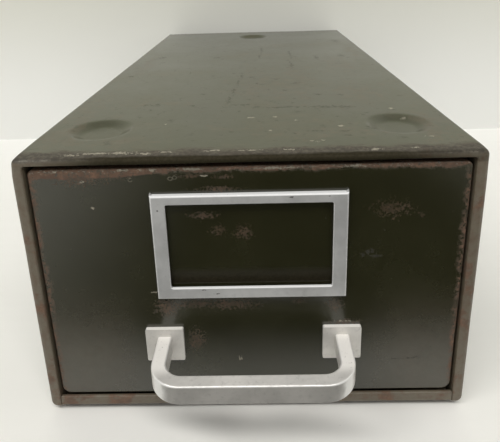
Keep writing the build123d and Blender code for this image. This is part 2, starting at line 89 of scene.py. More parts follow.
# Drawn dimples in the top: their centres in X and Y, millimetres
DIMPLES_MM = ((-76.5, -150.65), (76.5, -150.65), (0.0, 180.85))

# Rust on the drawer's face: X, Z and radii across and up, millimetres
FACE_RUST_MM = (
    (-41.7, 61.3, 5.0, 4.4), (-27, 63, 9, 2.2), (-10, 62.5, 11, 2.4), (23.1, 63.5, 2.6, 1.1),
    (39.5, 61.2, 3.4, 3.0), (-14.4, 123.7, 8.6, 1.0), (-21.4, 110.6, 5.6, 1.5),
    (-14.5, 103.0, 2.9, 2.4), (-3.2, 101.6, 3.8, 2.8), (64.6, 112.3, 6.8, 3.4), (78.6, 108.7, 1.3, 1.0),
    (-76, 130.4, 12.0, 3.4), (-60, 131, 6, 1.6), (-28.0, 41.3, 3.6, 5.2), (45.3, 51.5, 6.1, 1.4),
    (-26, 130.4, 4.5, 1.1), (-12, 129.6, 4, 0.8),
)
# Paint chipped off the face
FACE_CHIPS_MM = (
    (-86.8, 133.6, 1.4, 0.5), (-55.6, 133.6, 2.4, 0.5), (-43.3, 133.6, 1.6, 0.6),
    (-25.5, 133.5, 4.8, 0.6), (13.1, 133.4, 7.7, 0.5), (47.7, 133.6, 4.4, 0.5),
    (-47.1, 69.9, 2.0, 0.35), (-7.0, 30.9, 0.9, 0.9), (44.0, 51.9, 3.6, 0.35),
    (-75, 128.4, 1.2, 0.5), (-20, 130.2, 1.6, 0.4), (-71.3, 115.5, 0.6, 0.6),
)
# Dark scratches and spots on the face
FACE_PITS_MM = (
    (77.5, 29.2, 4.6, 0.4), (81.0, 30.0, 1.0, 0.6), (55.4, 90.3, 2.2, 1.1), (58.5, 88.0, 2.4, 0.8),
    (52.6, 88.4, 1.2, 1.0), (70.5, 29.0, 2.4, 0.35),
)
# Small rings where the paint has lifted: X, Z and radii
FACE_RINGS_MM = ((-53.0, 129.0, 1.0, 1.0), (-35.0, 129.2, 1.1, 0.9), (-33.0, 129.7, 1.0, 0.9))
# Dark nicks in the label frame: X, Z and radii
FRAME_NICKS_MM = (
    (19.4, 120.2, 1.3, 0.6), (-41.2, 114.7, 0.6, 0.5), (-22.4, 72.8, 1.5, 0.35), (-16.0, 70.6, 1.6, 0.3),
    (36.0, 120.4, 0.5, 0.5), (-6.0, 67.4, 0.5, 0.3), (24.0, 67.4, 0.6, 0.3),
)
# Up and forward, the way that the metal's bends face where a highlight is painted on them
HIGHLIGHT_FACING = (0.0, -0.57, 0.82)
# Brown film on the case's top: X, Y and radii, millimetres
TOP_FILM_MM = (
    (8, -62, 24, 60), (36, -48, 12, 70), (64, -90, 24, 34), (90, -150, 13, 34), (-95, -120, 10, 60),
    (-72, -100, 15, 14), (-44, -104, 9, 5), (36, -165, 34, 8), (74, 0, 16, 40), (-90, 20, 7, 60),
    (5, 60, 30, 14), (30, 110, 22, 12), (94, 60, 7, 60), (-10, -155, 22, 5), (-92, -160, 22, 30),
    (-62, -172, 30, 9),
)
# Paint chipped off the top
TOP_CHIPS_MM = (
    (1, -135.8, 2.2, 1.2), (14, -135.3, 1.4, 1.2), (25, -142.5, 0.8, 1.0), (11, -158.6, 0.9, 0.9),
    (-80.5, -144.5, 1.1, 1.6), (-76, -152.6, 2.6, 1.3), (80, -124.6, 1.3, 1.9), (82.5, -140, 1.2, 2.0),
    (47, -153.5, 1.7, 1.2), (30, -174.9, 1.2, 0.9), (32.5, -176.3, 1, 0.9), (35.5, -174.4, 1.1, 0.8),
    (-44, -144.2, 0.7, 0.8), (-82, -158, 3.0, 1.6), (-79.5, -186.8, 4.0, 0.9), (86, -172, 2.4, 0.7),
    (-68.9, -185.4, 7.0, 1.1), (-56.5, -185.2, 5.5, 1.3), (-45.9, -186.2, 3.5, 1.0),
    (-37.3, -184.8, 3.0, 0.9), (-16.0, -184.7, 3.5, 0.8), (1.1, -185.5, 4.5, 0.8),
    (18.9, -185.4, 3.0, 0.8), (56.9, -186.5, 2.5, 1.1), (74.6, -186.3, 1.8, 0.9),
)
# Dark worn spots, and the outline of a stain
TOP_PITS_MM = (
    (-63, -107, 3.2, 2.6), (-56, -106, 1.7, 2.0), (-57, -118, 2.0, 1.8), (-42, -139, 2.2, 2.8),
    (-34, -110, 3.0, 2.2), (-6, -123, 1.2, 1.5), (-32, 50, 3.7, 6), (-31, -83, 2.7, 2.3),
    (-48, -17, 1.6, 5), (-29, -28, 1.8, 2.8), (10, -15, 2.2, 3.4), (0, -34, 3.6, 2.6), (4, -55, 2, 3.6),
    (19, -42, 3.4, 3), (31, -56, 3.3, 2.9), (43, -89, 4.5, 2.6), (57, 37, 2.8, 12), (80, 44, 4.2, 7),
    (88, 132, 5.8, 12), (57, -92, 2.6, 2.6), (63, -159, 5.6, 1.3), (42, -117, 14, 1.6), (57, -119, 3.6, 2.2),
    (48, -168.5, 2.6, 1.1), (15, -143, 1.5, 1.6), (34, -161, 5.2, 1.7),
    (47, -162, 4.8, 1.6), (27, -167, 0.9, 1.4), (23, -164, 1.5, 1.1), (60, -156, 1.5, 1.8),
    (-83, 57, 4.6, 6), (-92, -24, 3.8, 4.7), (23, -76, 2.2, 3), (12, -73, 2.2, 3),
    (-7, -30, 1.6, 11), (-9, -52, 1.4, 13), (-11, -76, 1.6, 12), (-13, -98, 1.8, 11),
    (-4, -110, 10, 1.8), (19, -117, 15, 2.0), (48, -119, 16, 1.8),
    (7, 50, 1.8, 14), (9, 84, 1.8, 24), (35, 60, 1.6, 30), (33, 8, 1.8, 18),
)

# The two axes of the planes in which marks lie
ON_TOP = (0, 1)
UPRIGHT = (0, 2)
# Further off than any mark, in the mark's radii
FAR_RADII = 9.0
# Square of the distance, in reaches, at which a dent's push ends
DENT_END = 9
# Depth of the bumps in the finishes
PAINT_RELIEF = 0.14 * MM
METAL_RELIEF = 0.08 * MM
CAST_RELIEF = 0.06 * MM
RUBBER_RELIEF = 0.1 * MM
# Reaches for joining up vertices and for cutting, in metres
WELD_REACH = 2e-6
CUT_REACH = 1e-6
# Height of the zone under the top that holds the dimples, and the spacing of the fine cuts
DIMPLE_ZONE = 6 * MM
DIMPLE_STEP = 1.6 * MM
ROLL_STEP = 1.2 * MM
# Edges sharper than this stay hard
SHEET_SHARP = radians(28)
ROD_SIDES = 24
RING_SIDES = 40
DOME_RINGS = 14


def rgb(default, description):
    """Colour property, linear."""
    return FloatVectorProperty(
        description=description, default=default, size=3, min=0, max=1, subtype="COLOR")


def spot(default, description):
    """Place property, in metres."""
    return FloatVectorProperty(
        description=description, default=default, size=3, subtype="TRANSLATION", unit="LENGTH")


def number(default, description, **settings):
    """Property with one number."""
    return FloatProperty(description=description, default=default, **settings)


def measure(default, description, least=0.0):
    """Length property, in metres."""
    return number(default, description, min=least, unit="LENGTH")


def angle(degrees, description):
    """Angle property, its default given in degrees."""
    return number(radians(degrees), description, subtype="ANGLE")


class StageSettings(bpy.types.PropertyGroup):
    """Floor, backdrop, lamps and camera."""

    camera_place: spot((0.00573, -0.38917, 0.21914), "Where the camera stands")
    camera_turn: angle(1.16, "Turn to the left")
    camera_tilt: angle(16.24, "Tilt downwards")
    camera_roll: angle(1.68, "Roll clockwise")
    lens: number(35.04, "Focal length on a 36 mm sensor", subtype="DISTANCE_CAMERA")
    shift: number(-0.225, "Camera shift, in widths of the image")
    wall_y: measure(0.2385, "Y of the backdrop")
    floor_colour: rgb((0.89, 0.885, 0.855), "Colour of the floor")
    # The floor is painted lighter towards the backdrop: painted light.
    floor_far_colour: rgb((0.985, 0.98, 0.955), "Colour of the floor near the backdrop")
    wall_low_colour: rgb((0.90, 0.905, 0.88), "Colour of the backdrop near the floor")
    # The backdrop is painted darker higher up: painted shade.
    wall_high_colour: rgb((0.66, 0.66, 0.58), "Colour of the backdrop higher up")
    lamp_power: number(17.0, "Power of the soft lamp", min=0, unit="POWER")
    lamp_place: spot((-0.22, -0.80, 1.35), "Where the soft lamp hangs")
    lamp_length: measure(2.0, "Lamp's size from side to side")
    lamp_width: measure(0.2, "Lamp's size from front to back")
    lamp_colour: rgb((1.0, 0.985, 0.95), "Colour of both lamps")
    side_place: spot((0.95, 0.0, 0.95), "Where the weaker lamp on the right stands")
    side_size: measure(0.7, "Side of the weaker lamp's square")
    side_power: number(1.5, "Power of the weaker lamp", min=0, unit="POWER")
    sky_colour: rgb((1.0, 0.99, 0.96), "Colour of the light from all round")
    sky_strength: number(0.38, "Light from all round", min=0)


class PaintSettings(bpy.types.PropertyGroup):
    """Paint, dirt, rust, rubber and painted shade."""

    case_colour: rgb((0.034, 0.036, 0.010), "Paint of the case")
    drawer_colour: rgb((0.019, 0.0185, 0.006), "Paint of the drawer's front")
    film_colour: rgb((0.185, 0.150, 0.112), "Brown film on the paint")
    rust_colour: rgb((0.158, 0.082, 0.047), "Rust that comes through the paint")
    bare_colour: rgb((0.36, 0.33, 0.26), "Metal where the paint has chipped off")
    pit_colour: rgb((0.020, 0.017, 0.010), "Dark worn spots in the paint")
    grime_low_colour: rgb((0.024, 0.020, 0.009), "Darkest grime")
    # Colours of the painted shade
    grime_high_colour: rgb((0.050, 0.042, 0.024), "Lightest grime")
    rubber_colour: rgb((0.018, 0.017, 0.016), "Rubber of the buffers")
    case_roughness: number(0.36, "Roughness of the case's clean paint", min=0, max=1)
    drawer_roughness: number(0.20, "Roughness of the drawer's clean paint", min=0, max=1)
    gloss: number(0.5, "Weight of the clear gloss on sound paint", min=0, max=1)


class MetalSettings(bpy.types.PropertyGroup):
    """Bare metals."""

    frame_colour: rgb((0.62, 0.625, 0.63), "Satin aluminium of the label frame")
    handle_colour: rgb((0.73, 0.71, 0.675), "Cast aluminium of the handle")
    plated_colour: rgb((0.55, 0.54, 0.50), "Zinc plated steel of the follower")
    spring_colour: rgb((0.30, 0.29, 0.28), "Spring wire and leaf")
    pit_colour: rgb((0.03, 0.027, 0.022), "Dark pits and nicks in the metal")


class ShapeSettings(bpy.types.PropertyGroup):
    """Sizes of the small parts and of the sheet's unevenness."""

    grid_step: measure(0.009, "Spacing of the cuts that let a sheet bend", 0.003)
    sheet_waves: measure(0.0002, "How far the case's sheets wander from flat")
    roll_reach: measure(0.0085, "How far back the top's front edge is beaten down", 0.001)
    roll_drop: measure(0.0007, "How far the top's front edge is beaten down")
    dimple_reach: measure(0.0172, "Radius where a dimple's soft shoulder starts", 0.001)
    dimple_floor: measure(0.0088, "Radius of a dimple's flat floor", 0.001)
    dimple_depth: measure(0.003, "Depth of a dimple")
    sheet_thickness: measure(0.001, "Thickness of the case's sheet")
    face_waves: measure(0.00016, "How far the drawer's face wanders from flat")
    wire_radius: measure(0.0006, "Radius of the lever spring's wire")
    coil_radius: measure(0.00375, "Middle radius of the coil")
    coil_pitch: measure(0.002, "Spacing of the turns")
    coil_turns: IntProperty(description="Turns of the coil", default=3, min=1)
    clip_radius: measure(0.0035, "Outer radius of a push-on clip")
    screw_head: measure(0.0036, "Radius of a handle screw's head")
    rivet_head: measure(0.0026, "Radius of a rivet's head")


class Value:
    """A node's output. Its operators add Math nodes; a | b is the greater of two."""

    def __init__(self, graph, socket):
        self.graph = graph
        self.socket = socket

    def out(self, key):
        """Another output of the same node."""
        return Value(self.graph, self.socket.node.outputs[key])

    def __add__(self, other):
        return self.graph.math("ADD", self, other)

    def __sub__(self, other):
        return self.graph.math("SUBTRACT", self, other)

    def __rsub__(self, other):
        return self.graph.math("SUBTRACT", other, self)

    def __mul__(self, other):
        return self.graph.math("MULTIPLY", self, other)

    def __or__(self, other):
        return self.graph.math("MAXIMUM", self, other)

    def __ror__(self, other):
        return self.graph.math("MAXIMUM", other, self)

    def __abs__(self):
        return self.graph.math("ABSOLUTE", self)

    def times(self, factor, plus):
        """This value by a factor, plus another value."""
        return self.graph.math("MULTIPLY_ADD", self, factor, plus)


class Graph:
    """Adds nodes to a tree, each already joined to what feeds it."""

    per_row = 14
    node_step = (190, -230)

    def __init__(self, tree):
        self.tree = tree
        self.count = 0
        self.place = None

    def join(self, value, socket):
        if isinstance(value, Value):
            self.tree.links.new(value.socket, socket)
        elif value is not None:
            socket.default_value = value

    def put(self, kind, inputs=(), output=0, **settings):
        node = self.tree.nodes.new(kind)
        row, column = divmod(self.count, self.per_row)
        node.location = (column * self.node_step[0], row * self.node_step[1])
        self.count += 1
        for name, value in settings.items():
            setattr(node, name, value)
        for key, value in dict(inputs).items():
            self.join(value, node.inputs[key])
        return Value(self, node.outputs[output])

    def math(self, operation, *values, clamp=False):
        return self.put("ShaderNodeMath", enumerate(values), operation=operation, use_clamp=clamp)

    def vector(self, operation, *values, output=0):
        return self.put("ShaderNodeVectorMath", enumerate(values), output, operation=operation)

    def mix(self, factor, first, second):
        """Mix of two colours."""
        return self.put(
            "ShaderNodeMix", {0: factor, 6: colour4(first), 7: colour4(second)}, 2, data_type="RGBA")

    def blend(self, factor, first, second):
        """Mix of two numbers."""
        return self.put("ShaderNodeMix", {0: factor, 2: first, 3: second}, 0, data_type="FLOAT")

    def noise(self, scale, detail=3.0, rough=0.55, bend=0.0, stretch=None):
        """Noise over the graph's own coordinates, or over those times a stretch."""
        place = self.vector("MULTIPLY", self.place, stretch) if stretch else self.place
        return self.put(
            "ShaderNodeTexNoise",
            {"Vector": place, "Scale": scale, "Detail": detail, "Roughness": rough, "Distortion": bend})

    def span(self, value, low, high, to_low=0.0, to_high=1.0):
        """Smooth step of a value from one range to another."""
        return self.put(
            "ShaderNodeMapRange", {0: value, 1: low, 2: high, 3: to_low, 4: to_high},
            interpolation_type="SMOOTHSTEP")

    def span_mm(self, value, low, high, to_low=0.0, to_high=1.0):
        """The same for a length, its range given in millimetres."""
        return self.span(value, low * MM, high * MM, to_low, to_high)

    def parts(self, vector):
        first = self.put("ShaderNodeSeparateXYZ", {0: vector})
        return first, first.out(1), first.out(2)

    def xyz(self, x=0.0, y=0.0, z=0.0):
        return self.put("ShaderNodeCombineXYZ", {0: x, 1: y, 2: z})

    def facing(self):
        """Which way the surface faces, in the object's frame."""
        return self.put("ShaderNodeTexCoord", output="Normal")

    def effect(self, steps, **values):
        """Adds a shared effect: a node group with one mask as its output, made at its first use."""
        title = steps.__name__.replace("_", " ").title()
        inputs = {"Vector": self.place}
        for name, value in values.items():
            inputs[name.title()] = value
        tree = bpy.data.node_groups.get(title)
        if not tree:
            tree = bpy.data.node_groups.new(title, "ShaderNodeTree")
            for label in inputs:
                kind = "NodeSocketVector" if label == "Vector" else "NodeSocketFloat"
                tree.interface.new_socket(label, in_out="INPUT", socket_type=kind)
            tree.interface.new_socket("Mask", in_out="OUTPUT", socket_type="NodeSocketFloat")
            graph = Graph(tree)
            given = tree.nodes.new("NodeGroupInput").outputs
            graph.place, *rest = [Value(graph, given[label]) for label in inputs]
            mask = steps(graph, *rest)
            graph.join(mask, tree.nodes.new("NodeGroupOutput").inputs["Mask"])
        return self.put("ShaderNodeGroup", inputs, node_tree=tree)


class Surface(Graph):
    """The nodes of a new material, round its Principled BSDF."""

    def __init__(self, name):
        self.material = bpy.data.materials.new(name)
        self.material.use_nodes = True
        super().__init__(self.material.node_tree)
        self.shader = self.tree.nodes["Principled BSDF"]
        self.place = self.put("ShaderNodeTexCoord", output="Object")

    def feed(self, inputs):
        """Joins values to the shader's inputs."""
        for key, value in inputs.items():
            self.join(value, self.shader.inputs[key])

    def bump(self, height, distance):
        self.feed({"Normal": self.put("ShaderNodeBump", {"Height": height, "Distance": distance}, "Normal")})


def colour4(value):
    """A colour with its alpha, where a plain one is given."""
    return value if isinstance(value, Value) or len(value) == 4 else (*value, 1.0)


def scaled(colour, factor):
    return tuple(min(1.0, part * factor) for part in colour)


def edge_wear(graph, low, high, scale, broken):
    """Mask of bends and rounded edges: where the surface faces none of the three main ways."""
    x, y, z = graph.parts(graph.vector("ABSOLUTE", graph.facing()))
    ragged = (graph.noise(scale, 4) - 0.5) * broken
    off = 1.0 - (x | y | z)
    return graph.span((off * ragged).times(5.0, off), low, high)


def ragged_mark(graph, distance, scale, spread, soft):
    """Turns a distance, 1 at a mark's edge, into crumbs that thin out towards the mark's edge."""
    crumbs = graph.noise(scale, 5, 0.72) - 0.36
    return graph.span(crumbs - distance * spread, 0.0, soft)


def specks(graph, scale, size, share):
    """Sparse round specks: cells of a Voronoi pattern, of which a share is kept."""
    distance = graph.put("ShaderNodeTexVoronoi", {"Vector": graph.place, "Scale": scale}, "Distance")
    chance = graph.put("ShaderNodeSeparateColor", {0: distance.out("Color")})
    kept = graph.math("LESS_THAN", chance, share)
    shaken = graph.noise(scale * 5.0, 2).times(0.12, distance)
    return graph.span(shaken, size + 0.07, size + 0.03) * kept


def scratches(graph, scale, share):
    """Fine lines along X of the given vector, broken into short lengths."""
    lines = graph.noise(scale, 2, 0.5, stretch=(0.06, 1.0, 1.0))
    thin = graph.span(abs(lines - 0.5), 0.012, 0.0)
    return thin * graph.span(graph.noise(40.0, 2), 1.0 - share, 1.0)


def nearest_mark(graph, marks_mm, axes):
    """Distance to the nearest of some marks, in radii. A mark lies in the plane of two axes."""
    nearest = FAR_RADII
    for mark in marks_mm:
        scale, shift = [0.0] * 3, [0.0] * 3
        for axis, centre, reach in zip(axes, mark[:2], mark[2:]):
            scale[axis] = 1 / (reach * MM)
            shift[axis] = -centre / reach
        away = graph.vector("LENGTH", graph.vector("MULTIPLY_ADD", graph.place, scale, shift), output=1)
        nearest = graph.math("MINIMUM", away, nearest)
    return nearest


def marked(graph, marks_mm, axes, scale, spread=0.2, soft=0.06):
    """Mask of ragged marks that lie in known places."""
    distance = nearest_mark(graph, marks_mm, axes)
    return graph.effect(ragged_mark, distance=distance, scale=scale, spread=spread, soft=soft)


def case_marks(graph):
    """Where the case's paint is filmed, rusty, bare and pitted, and where shade is painted under the top's
    front fold.
    """
    x, y, z = graph.parts(graph.place)
    across = abs(x)
    behind = y - FRONT_Y
    on_top = graph.span(z, TOP_Z - 2.6 * MM, TOP_Z - 1 * MM)
    on_fold = graph.span(z, TOP_Z - 6 * MM, TOP_Z - 5 * MM)
    streaky = graph.noise(150.0, 6, 0.7, stretch=(0.35, 1.0, 1.0))
    cloudy = graph.noise(75.0, 6, 0.68)
    crumbly = graph.noise(520.0, 5, 0.72)

    side = graph.span(across, CASE_HIGH.x - 8.5 * MM, CASE_HIGH.x - 5 * MM)
    fold = on_fold * (on_top | graph.span_mm(across, 45, 95, 0.0, 0.9))
    worn = side | graph.span_mm(z, 14, 10) | fold
    near = streaky.times(22 * MM, behind - 11 * MM)
    rim = graph.span_mm(near, 10.5, 5.0) * worn
    rust = graph.span_mm(near, 3.0, 1.0) * graph.span(cloudy, 0.52, 0.62) * worn * 0.8

    film = marked(graph, TOP_FILM_MM, ON_TOP, 130.0, 0.14, 0.16)
    film = film * graph.span(streaky, 0.34, 0.6, 0.3, 0.8) * on_top * 0.6
    chips = marked(graph, TOP_CHIPS_MM, ON_TOP, 650.0, 0.16, 0.05) * on_top
    pits = marked(graph, TOP_PITS_MM, ON_TOP, 420.0, 0.17, 0.14) * on_top * 0.5
    smudges = graph.span(graph.noise(170.0, 5, 0.75), 0.58, 0.64) * on_top
    smudges = smudges * graph.span(cloudy, 0.42, 0.58, 0.1, 0.32)
    dotted = rim * on_top * graph.span(crumbly, 0.35, 0.6, 0.45, 0.85)

    # Painted shade: a dark, dull band on the lower part of the top's front fold, darkest in the middle,
    # where the bend mirrors the dark room in front. It also damps the lamp's sheen on the bend.
    under = graph.span(streaky.times(1.2 * MM, z), TOP_Z + 0.35 * MM, TOP_Z - 0.35 * MM) * on_fold
    under = under * graph.span_mm(x, 104, 60, 0.35, 1.0) * graph.span_mm(x, -100, -58, 0.05, 1.0)
    painted_shade = under * graph.span_mm(behind, 3.5, 2.5) * 0.95
    return film | rim, rust, chips, pits | smudges | dotted, painted_shade


def face_marks(graph):
    """Where the drawer front's paint is filmed, rusty, bare and pitted, where light is painted on its lower
    outer corners, and where shade is painted at the foot of the label window.
    """
    x, y, z = graph.parts(graph.place)
    across = abs(x)
    cloudy = graph.noise(120.0, 6, 0.7)
    crumbly = graph.noise(620.0, 5, 0.72)
    shake = cloudy.times(5.6 * MM, -2.8 * MM)
    from_top = FACE_HIGH.z - z
    top_edge = from_top + shake
    side_edge = shake.times(1.3, FACE_HIGH.x - across)
    fore = graph.span_mm(cloudy.times(6 * MM, y - FACE_LOW.y), 9.5, 5.5, 0.12, 1.0)

    width = graph.span_mm(x, -30, -62).times(2.6 * MM, 2.0 * MM)
    band = graph.span_mm(top_edge - width, 0.6, -0.4) * graph.span(crumbly, 0.36, 0.50)
    sides = graph.span_mm(side_edge, 3.4, 0.8) * graph.span(crumbly, 0.44, 0.54)
    rust = marked(graph, FACE_RUST_MM, UPRIGHT, 780.0, 0.13, 0.10)
    rust = rust * graph.span(cloudy, 0.35, 0.65, 0.14, 0.54) | (band | sides) * fore * 0.9

    chips = marked(graph, FACE_CHIPS_MM, UPRIGHT, 700.0, 0.14, 0.05)
    flecks = graph.noise(1500.0, 3, 0.7, stretch=(0.6, 1.0, 1.0))
    flecks = graph.span(flecks, 0.56, 0.63) * graph.span_mm(from_top, 3.0, 1.0)
    flecks = flecks * (fore * graph.span(cloudy, 0.38, 0.55, 0.15, 0.9))
    rings = abs(nearest_mark(graph, FACE_RINGS_MM, UPRIGHT) - 0.9)
    rings = graph.span(rings, 0.3, 0.1) * graph.span(crumbly, 0.35, 0.55)
    pits = marked(graph, FACE_PITS_MM, UPRIGHT, 760.0, 0.15, 0.10) * 0.7

    film = graph.span_mm(top_edge, 4.0, 1.0) | graph.span_mm(side_edge, 4.4, 0.5)
    film = film * fore * graph.span(crumbly, 0.4, 0.6, 0.1, 0.6)
    # Painted reflection: the face made lighter towards its lower outer corners, where it mirrors the bright
    # floor. It is returned with the film.
    corners = graph.span_mm(across, 45, 80) * graph.span_mm(z, 85, 30)
    corners = corners * graph.span(cloudy, 0.2, 0.7, 0.16, 0.30)
    # Painted shade: a dark, dull strip along the foot of the label window.
    sill = graph.span_mm(z, 74.5, 75.2) * graph.span_mm(z, 84, 76) * graph.span_mm(across, 40, 39)
    return film | corners, rust, chips | flecks | rings * 0.4, pits, sill * 0.95


def inner_marks(graph):
    """Light dust and a little rust on the parts inside."""
    dust = graph.span(graph.noise(30.0, 4), 0.5, 0.75) * 0.5
    rust = graph.span(graph.noise(55.0, 5, 0.65), 0.68, 0.78) * 0.7
    return dust, rust, 0.0, 0.0, 0.0


def worn_paint(name, colour, place_marks, wear, dust, specked, roughness):
    """Worn semi-gloss paint. place_marks returns the masks of film, rust, bare metal, pits and painted shade
    that lie in known places; on the drawer's face its film mask also carries painted light. wear scales the
    wear along the bends, dust the brown film elsewhere, and specked is the share of light specks."""
    paint = bpy.context.scene.card_unit_paint
    graph = Surface(name)
    film_and_painted_light, rust, bare_at, pits_at, painted_shade = place_marks(graph)
    broad = graph.noise(22.0, 5, 0.62, 0.4)
    fine = graph.noise(260.0, 5, 0.66)
    crisp = graph.noise(1100.0, 3, 0.6)
    grain = graph.noise(900.0, 5, 0.78)
    edges = graph.effect(edge_wear, low=0.12, high=0.28, scale=210.0, broken=0.7)
    bare_edges = graph.effect(edge_wear, low=0.30, high=0.36, scale=330.0, broken=1.1)
    dark_specks = graph.effect(specks, scale=260.0, size=0.07, share=0.12)
    light_specks = graph.effect(specks, scale=150.0, size=0.0, share=specked)
    # Where no shade is painted
    unshaded = graph.math("SUBTRACT", 1.0, painted_shade, clamp=True)
    film = film_and_painted_light | graph.span(broad, 0.56, 0.7) * dust | edges * wear
    film = film * graph.span(grain, 0.42, 0.6).times(-0.45, 1.0)
    dark = pits_at | dark_specks * 0.8
    bare = bare_at | bare_edges * unshaded * (0.5 * wear) | light_specks * 0.6

    tone = graph.mix(graph.span(broad, 0.3, 0.7), scaled(colour, 0.88), scaled(colour, 1.12))
    brown = graph.mix(
        graph.span(grain, 0.32, 0.68), scaled(paint.film_colour, 0.6), scaled(paint.film_colour, 1.3))
    brown = graph.mix(graph.span(fine, 0.4, 0.7, 0.0, 0.6), brown, scaled(paint.rust_colour, 0.8))
    tone = graph.mix(film * 0.85, tone, brown)
    rusty = graph.mix(
        graph.span(grain, 0.3, 0.7), scaled(paint.rust_colour, 0.55), scaled(paint.rust_colour, 1.35))
    rusty = graph.mix(graph.span(fine, 0.35, 0.65), scaled(paint.rust_colour, 0.6), rusty)
    tone = graph.mix(rust, tone, rusty)
    tone = graph.mix(dark, tone, paint.pit_colour)
    # Painted shade: dark tones laid where the shade mask is.
    shade_tone = graph.mix(graph.span(grain, 0.3, 0.7), paint.grime_low_colour, paint.grime_high_colour)
    tone = graph.mix(painted_shade, tone, shade_tone)
    metal = graph.mix(graph.span(crisp, 0.3, 0.7), scaled(paint.bare_colour, 0.6), paint.bare_colour)

    dull = fine.times(0.06, graph.span(broad, 0.35, 0.7).times(0.05, roughness))
    for mask, level in ((film, 0.60), (rust, 0.80), (dark, 0.75), (painted_shade, 0.75), (bare, 0.45)):
        dull = graph.blend(mask, dull, level)
    marred = (film | rust) | (bare | dark)
    sound = graph.math("SUBTRACT", 1.0, marred, clamp=True) * unshaded
    # The painted shade is dull and metallic on a dark colour, so that it mirrors little light.
    graph.feed({
        "Base Color": graph.mix(bare, tone, metal), "Roughness": dull,
        "Metallic": bare * 0.35 | graph.math("MULTIPLY", painted_shade, 0.9),
        "Coat Weight": sound * paint.gloss, "Coat Roughness": 0.14, "IOR": 1.62})
    height = crisp.times(0.06, fine * 0.14)
    height = (bare | dark).times(-0.5, height)
    graph.bump((rust * crisp).times(0.8, height), PAINT_RELIEF)
    return graph.material


def worn_metal(name, colour, roughness, cast=0.0, dirt=0.5, metallic=0.85, front_shade=0.0, painted_highlight=None,
               nicks_mm=()):
    """Satin metal with dull patches, dirt, dark pits and brighter edges. Cast adds a sandy grain,
    front_shade darkens the front face of the handle's bar with painted shade, and painted_highlight, a span
    of how far a surface faces up and forward and a brightness, paints a highlight on the bends there."""
    graph = Surface(name)
    broad = graph.noise(60.0, 3, 0.6)
    fine = graph.noise(420.0, 4, 0.62)
    grain = graph.noise(1500.0, 3, 0.6)
    edges = graph.effect(edge_wear, low=0.05, high=0.22, scale=260.0, broken=0.25)
    pits = graph.effect(specks, scale=420.0, size=0.05, share=0.16)
    lines = graph.effect(scratches, scale=700.0, share=0.55)
    tone = graph.mix(graph.span(broad, 0.3, 0.7), scaled(colour, 0.85), scaled(colour, 1.08))
    tone = graph.mix(graph.span(fine, 0.5, 0.85) * dirt, tone, scaled(colour, 0.45))
    # Painted shade: the forward face of the handle's bar made darker.
    if front_shade:
        shaded_front = graph.span(graph.parts(graph.place)[1], FRONT_Y - 24 * MM, FRONT_Y - 26 * MM)
        shaded_front = shaded_front * graph.span(graph.parts(graph.facing())[1], -0.3, -0.8)
        tone = graph.mix(shaded_front * front_shade, tone, scaled(colour, 0.2))
    tone = graph.mix(edges * 0.7, tone, scaled(colour, 1.45))
    tone = graph.mix(lines * 0.35, tone, scaled(colour, 1.3))
    # Painted highlight: bends that face up and forward are made lighter and not metallic, so that they catch
    # more light.
    if painted_highlight:
        low, high, brightness = painted_highlight
        highlight = graph.span(graph.vector("DOT_PRODUCT", graph.facing(), HIGHLIGHT_FACING, output=1), low, high)
        if front_shade:
            bar = graph.span(graph.parts(graph.place)[1], FRONT_Y - 26 * MM, FRONT_Y - 19 * MM)
            highlight = highlight * bar
        tone = graph.mix(highlight, tone, scaled(colour, brightness))
        pits = pits | graph.span(graph.noise(800.0, 4, 0.7), 0.36, 0.33) * (highlight * cast)
        metallic = graph.blend(highlight, metallic, 0.0)
    if nicks_mm:
        pits = pits | marked(graph, nicks_mm, UPRIGHT, 900.0)
    pit_colour = bpy.context.scene.card_unit_metal.pit_colour
    dull = graph.span(fine, 0.4, 0.8).times(0.14, roughness)
    dull = edges.times(-0.14, broad.times(0.08, dull))
    graph.feed({
        "Base Color": graph.mix(pits * 0.85, tone, pit_colour), "Roughness": graph.blend(pits, dull, 0.8),
        "Metallic": graph.blend(pits, metallic, 0.2)})
    height = grain.times(0.1 + 0.5 * cast, fine * (0.15 + cast))
    graph.bump(pits.times(-0.8, height), METAL_RELIEF + CAST_RELIEF * cast)
    return graph.material


def rubber(name):
    """Matt rubber with dust in its pores."""
    paint = bpy.context.scene.card_unit_paint
    graph = Surface(name)
    fine = graph.noise(600.0, 4, 0.6)
    dust = graph.span(graph.noise(90.0, 4), 0.45, 0.75) * 0.35
    tone = graph.mix(fine, paint.rubber_colour, scaled(paint.rubber_colour, 2.0))
    graph.feed({"Base Color": graph.mix(dust, tone, paint.film_colour), "Roughness": fine.times(0.2, 0.65)})
    graph.bump(fine, RUBBER_RELIEF)
    return graph.material


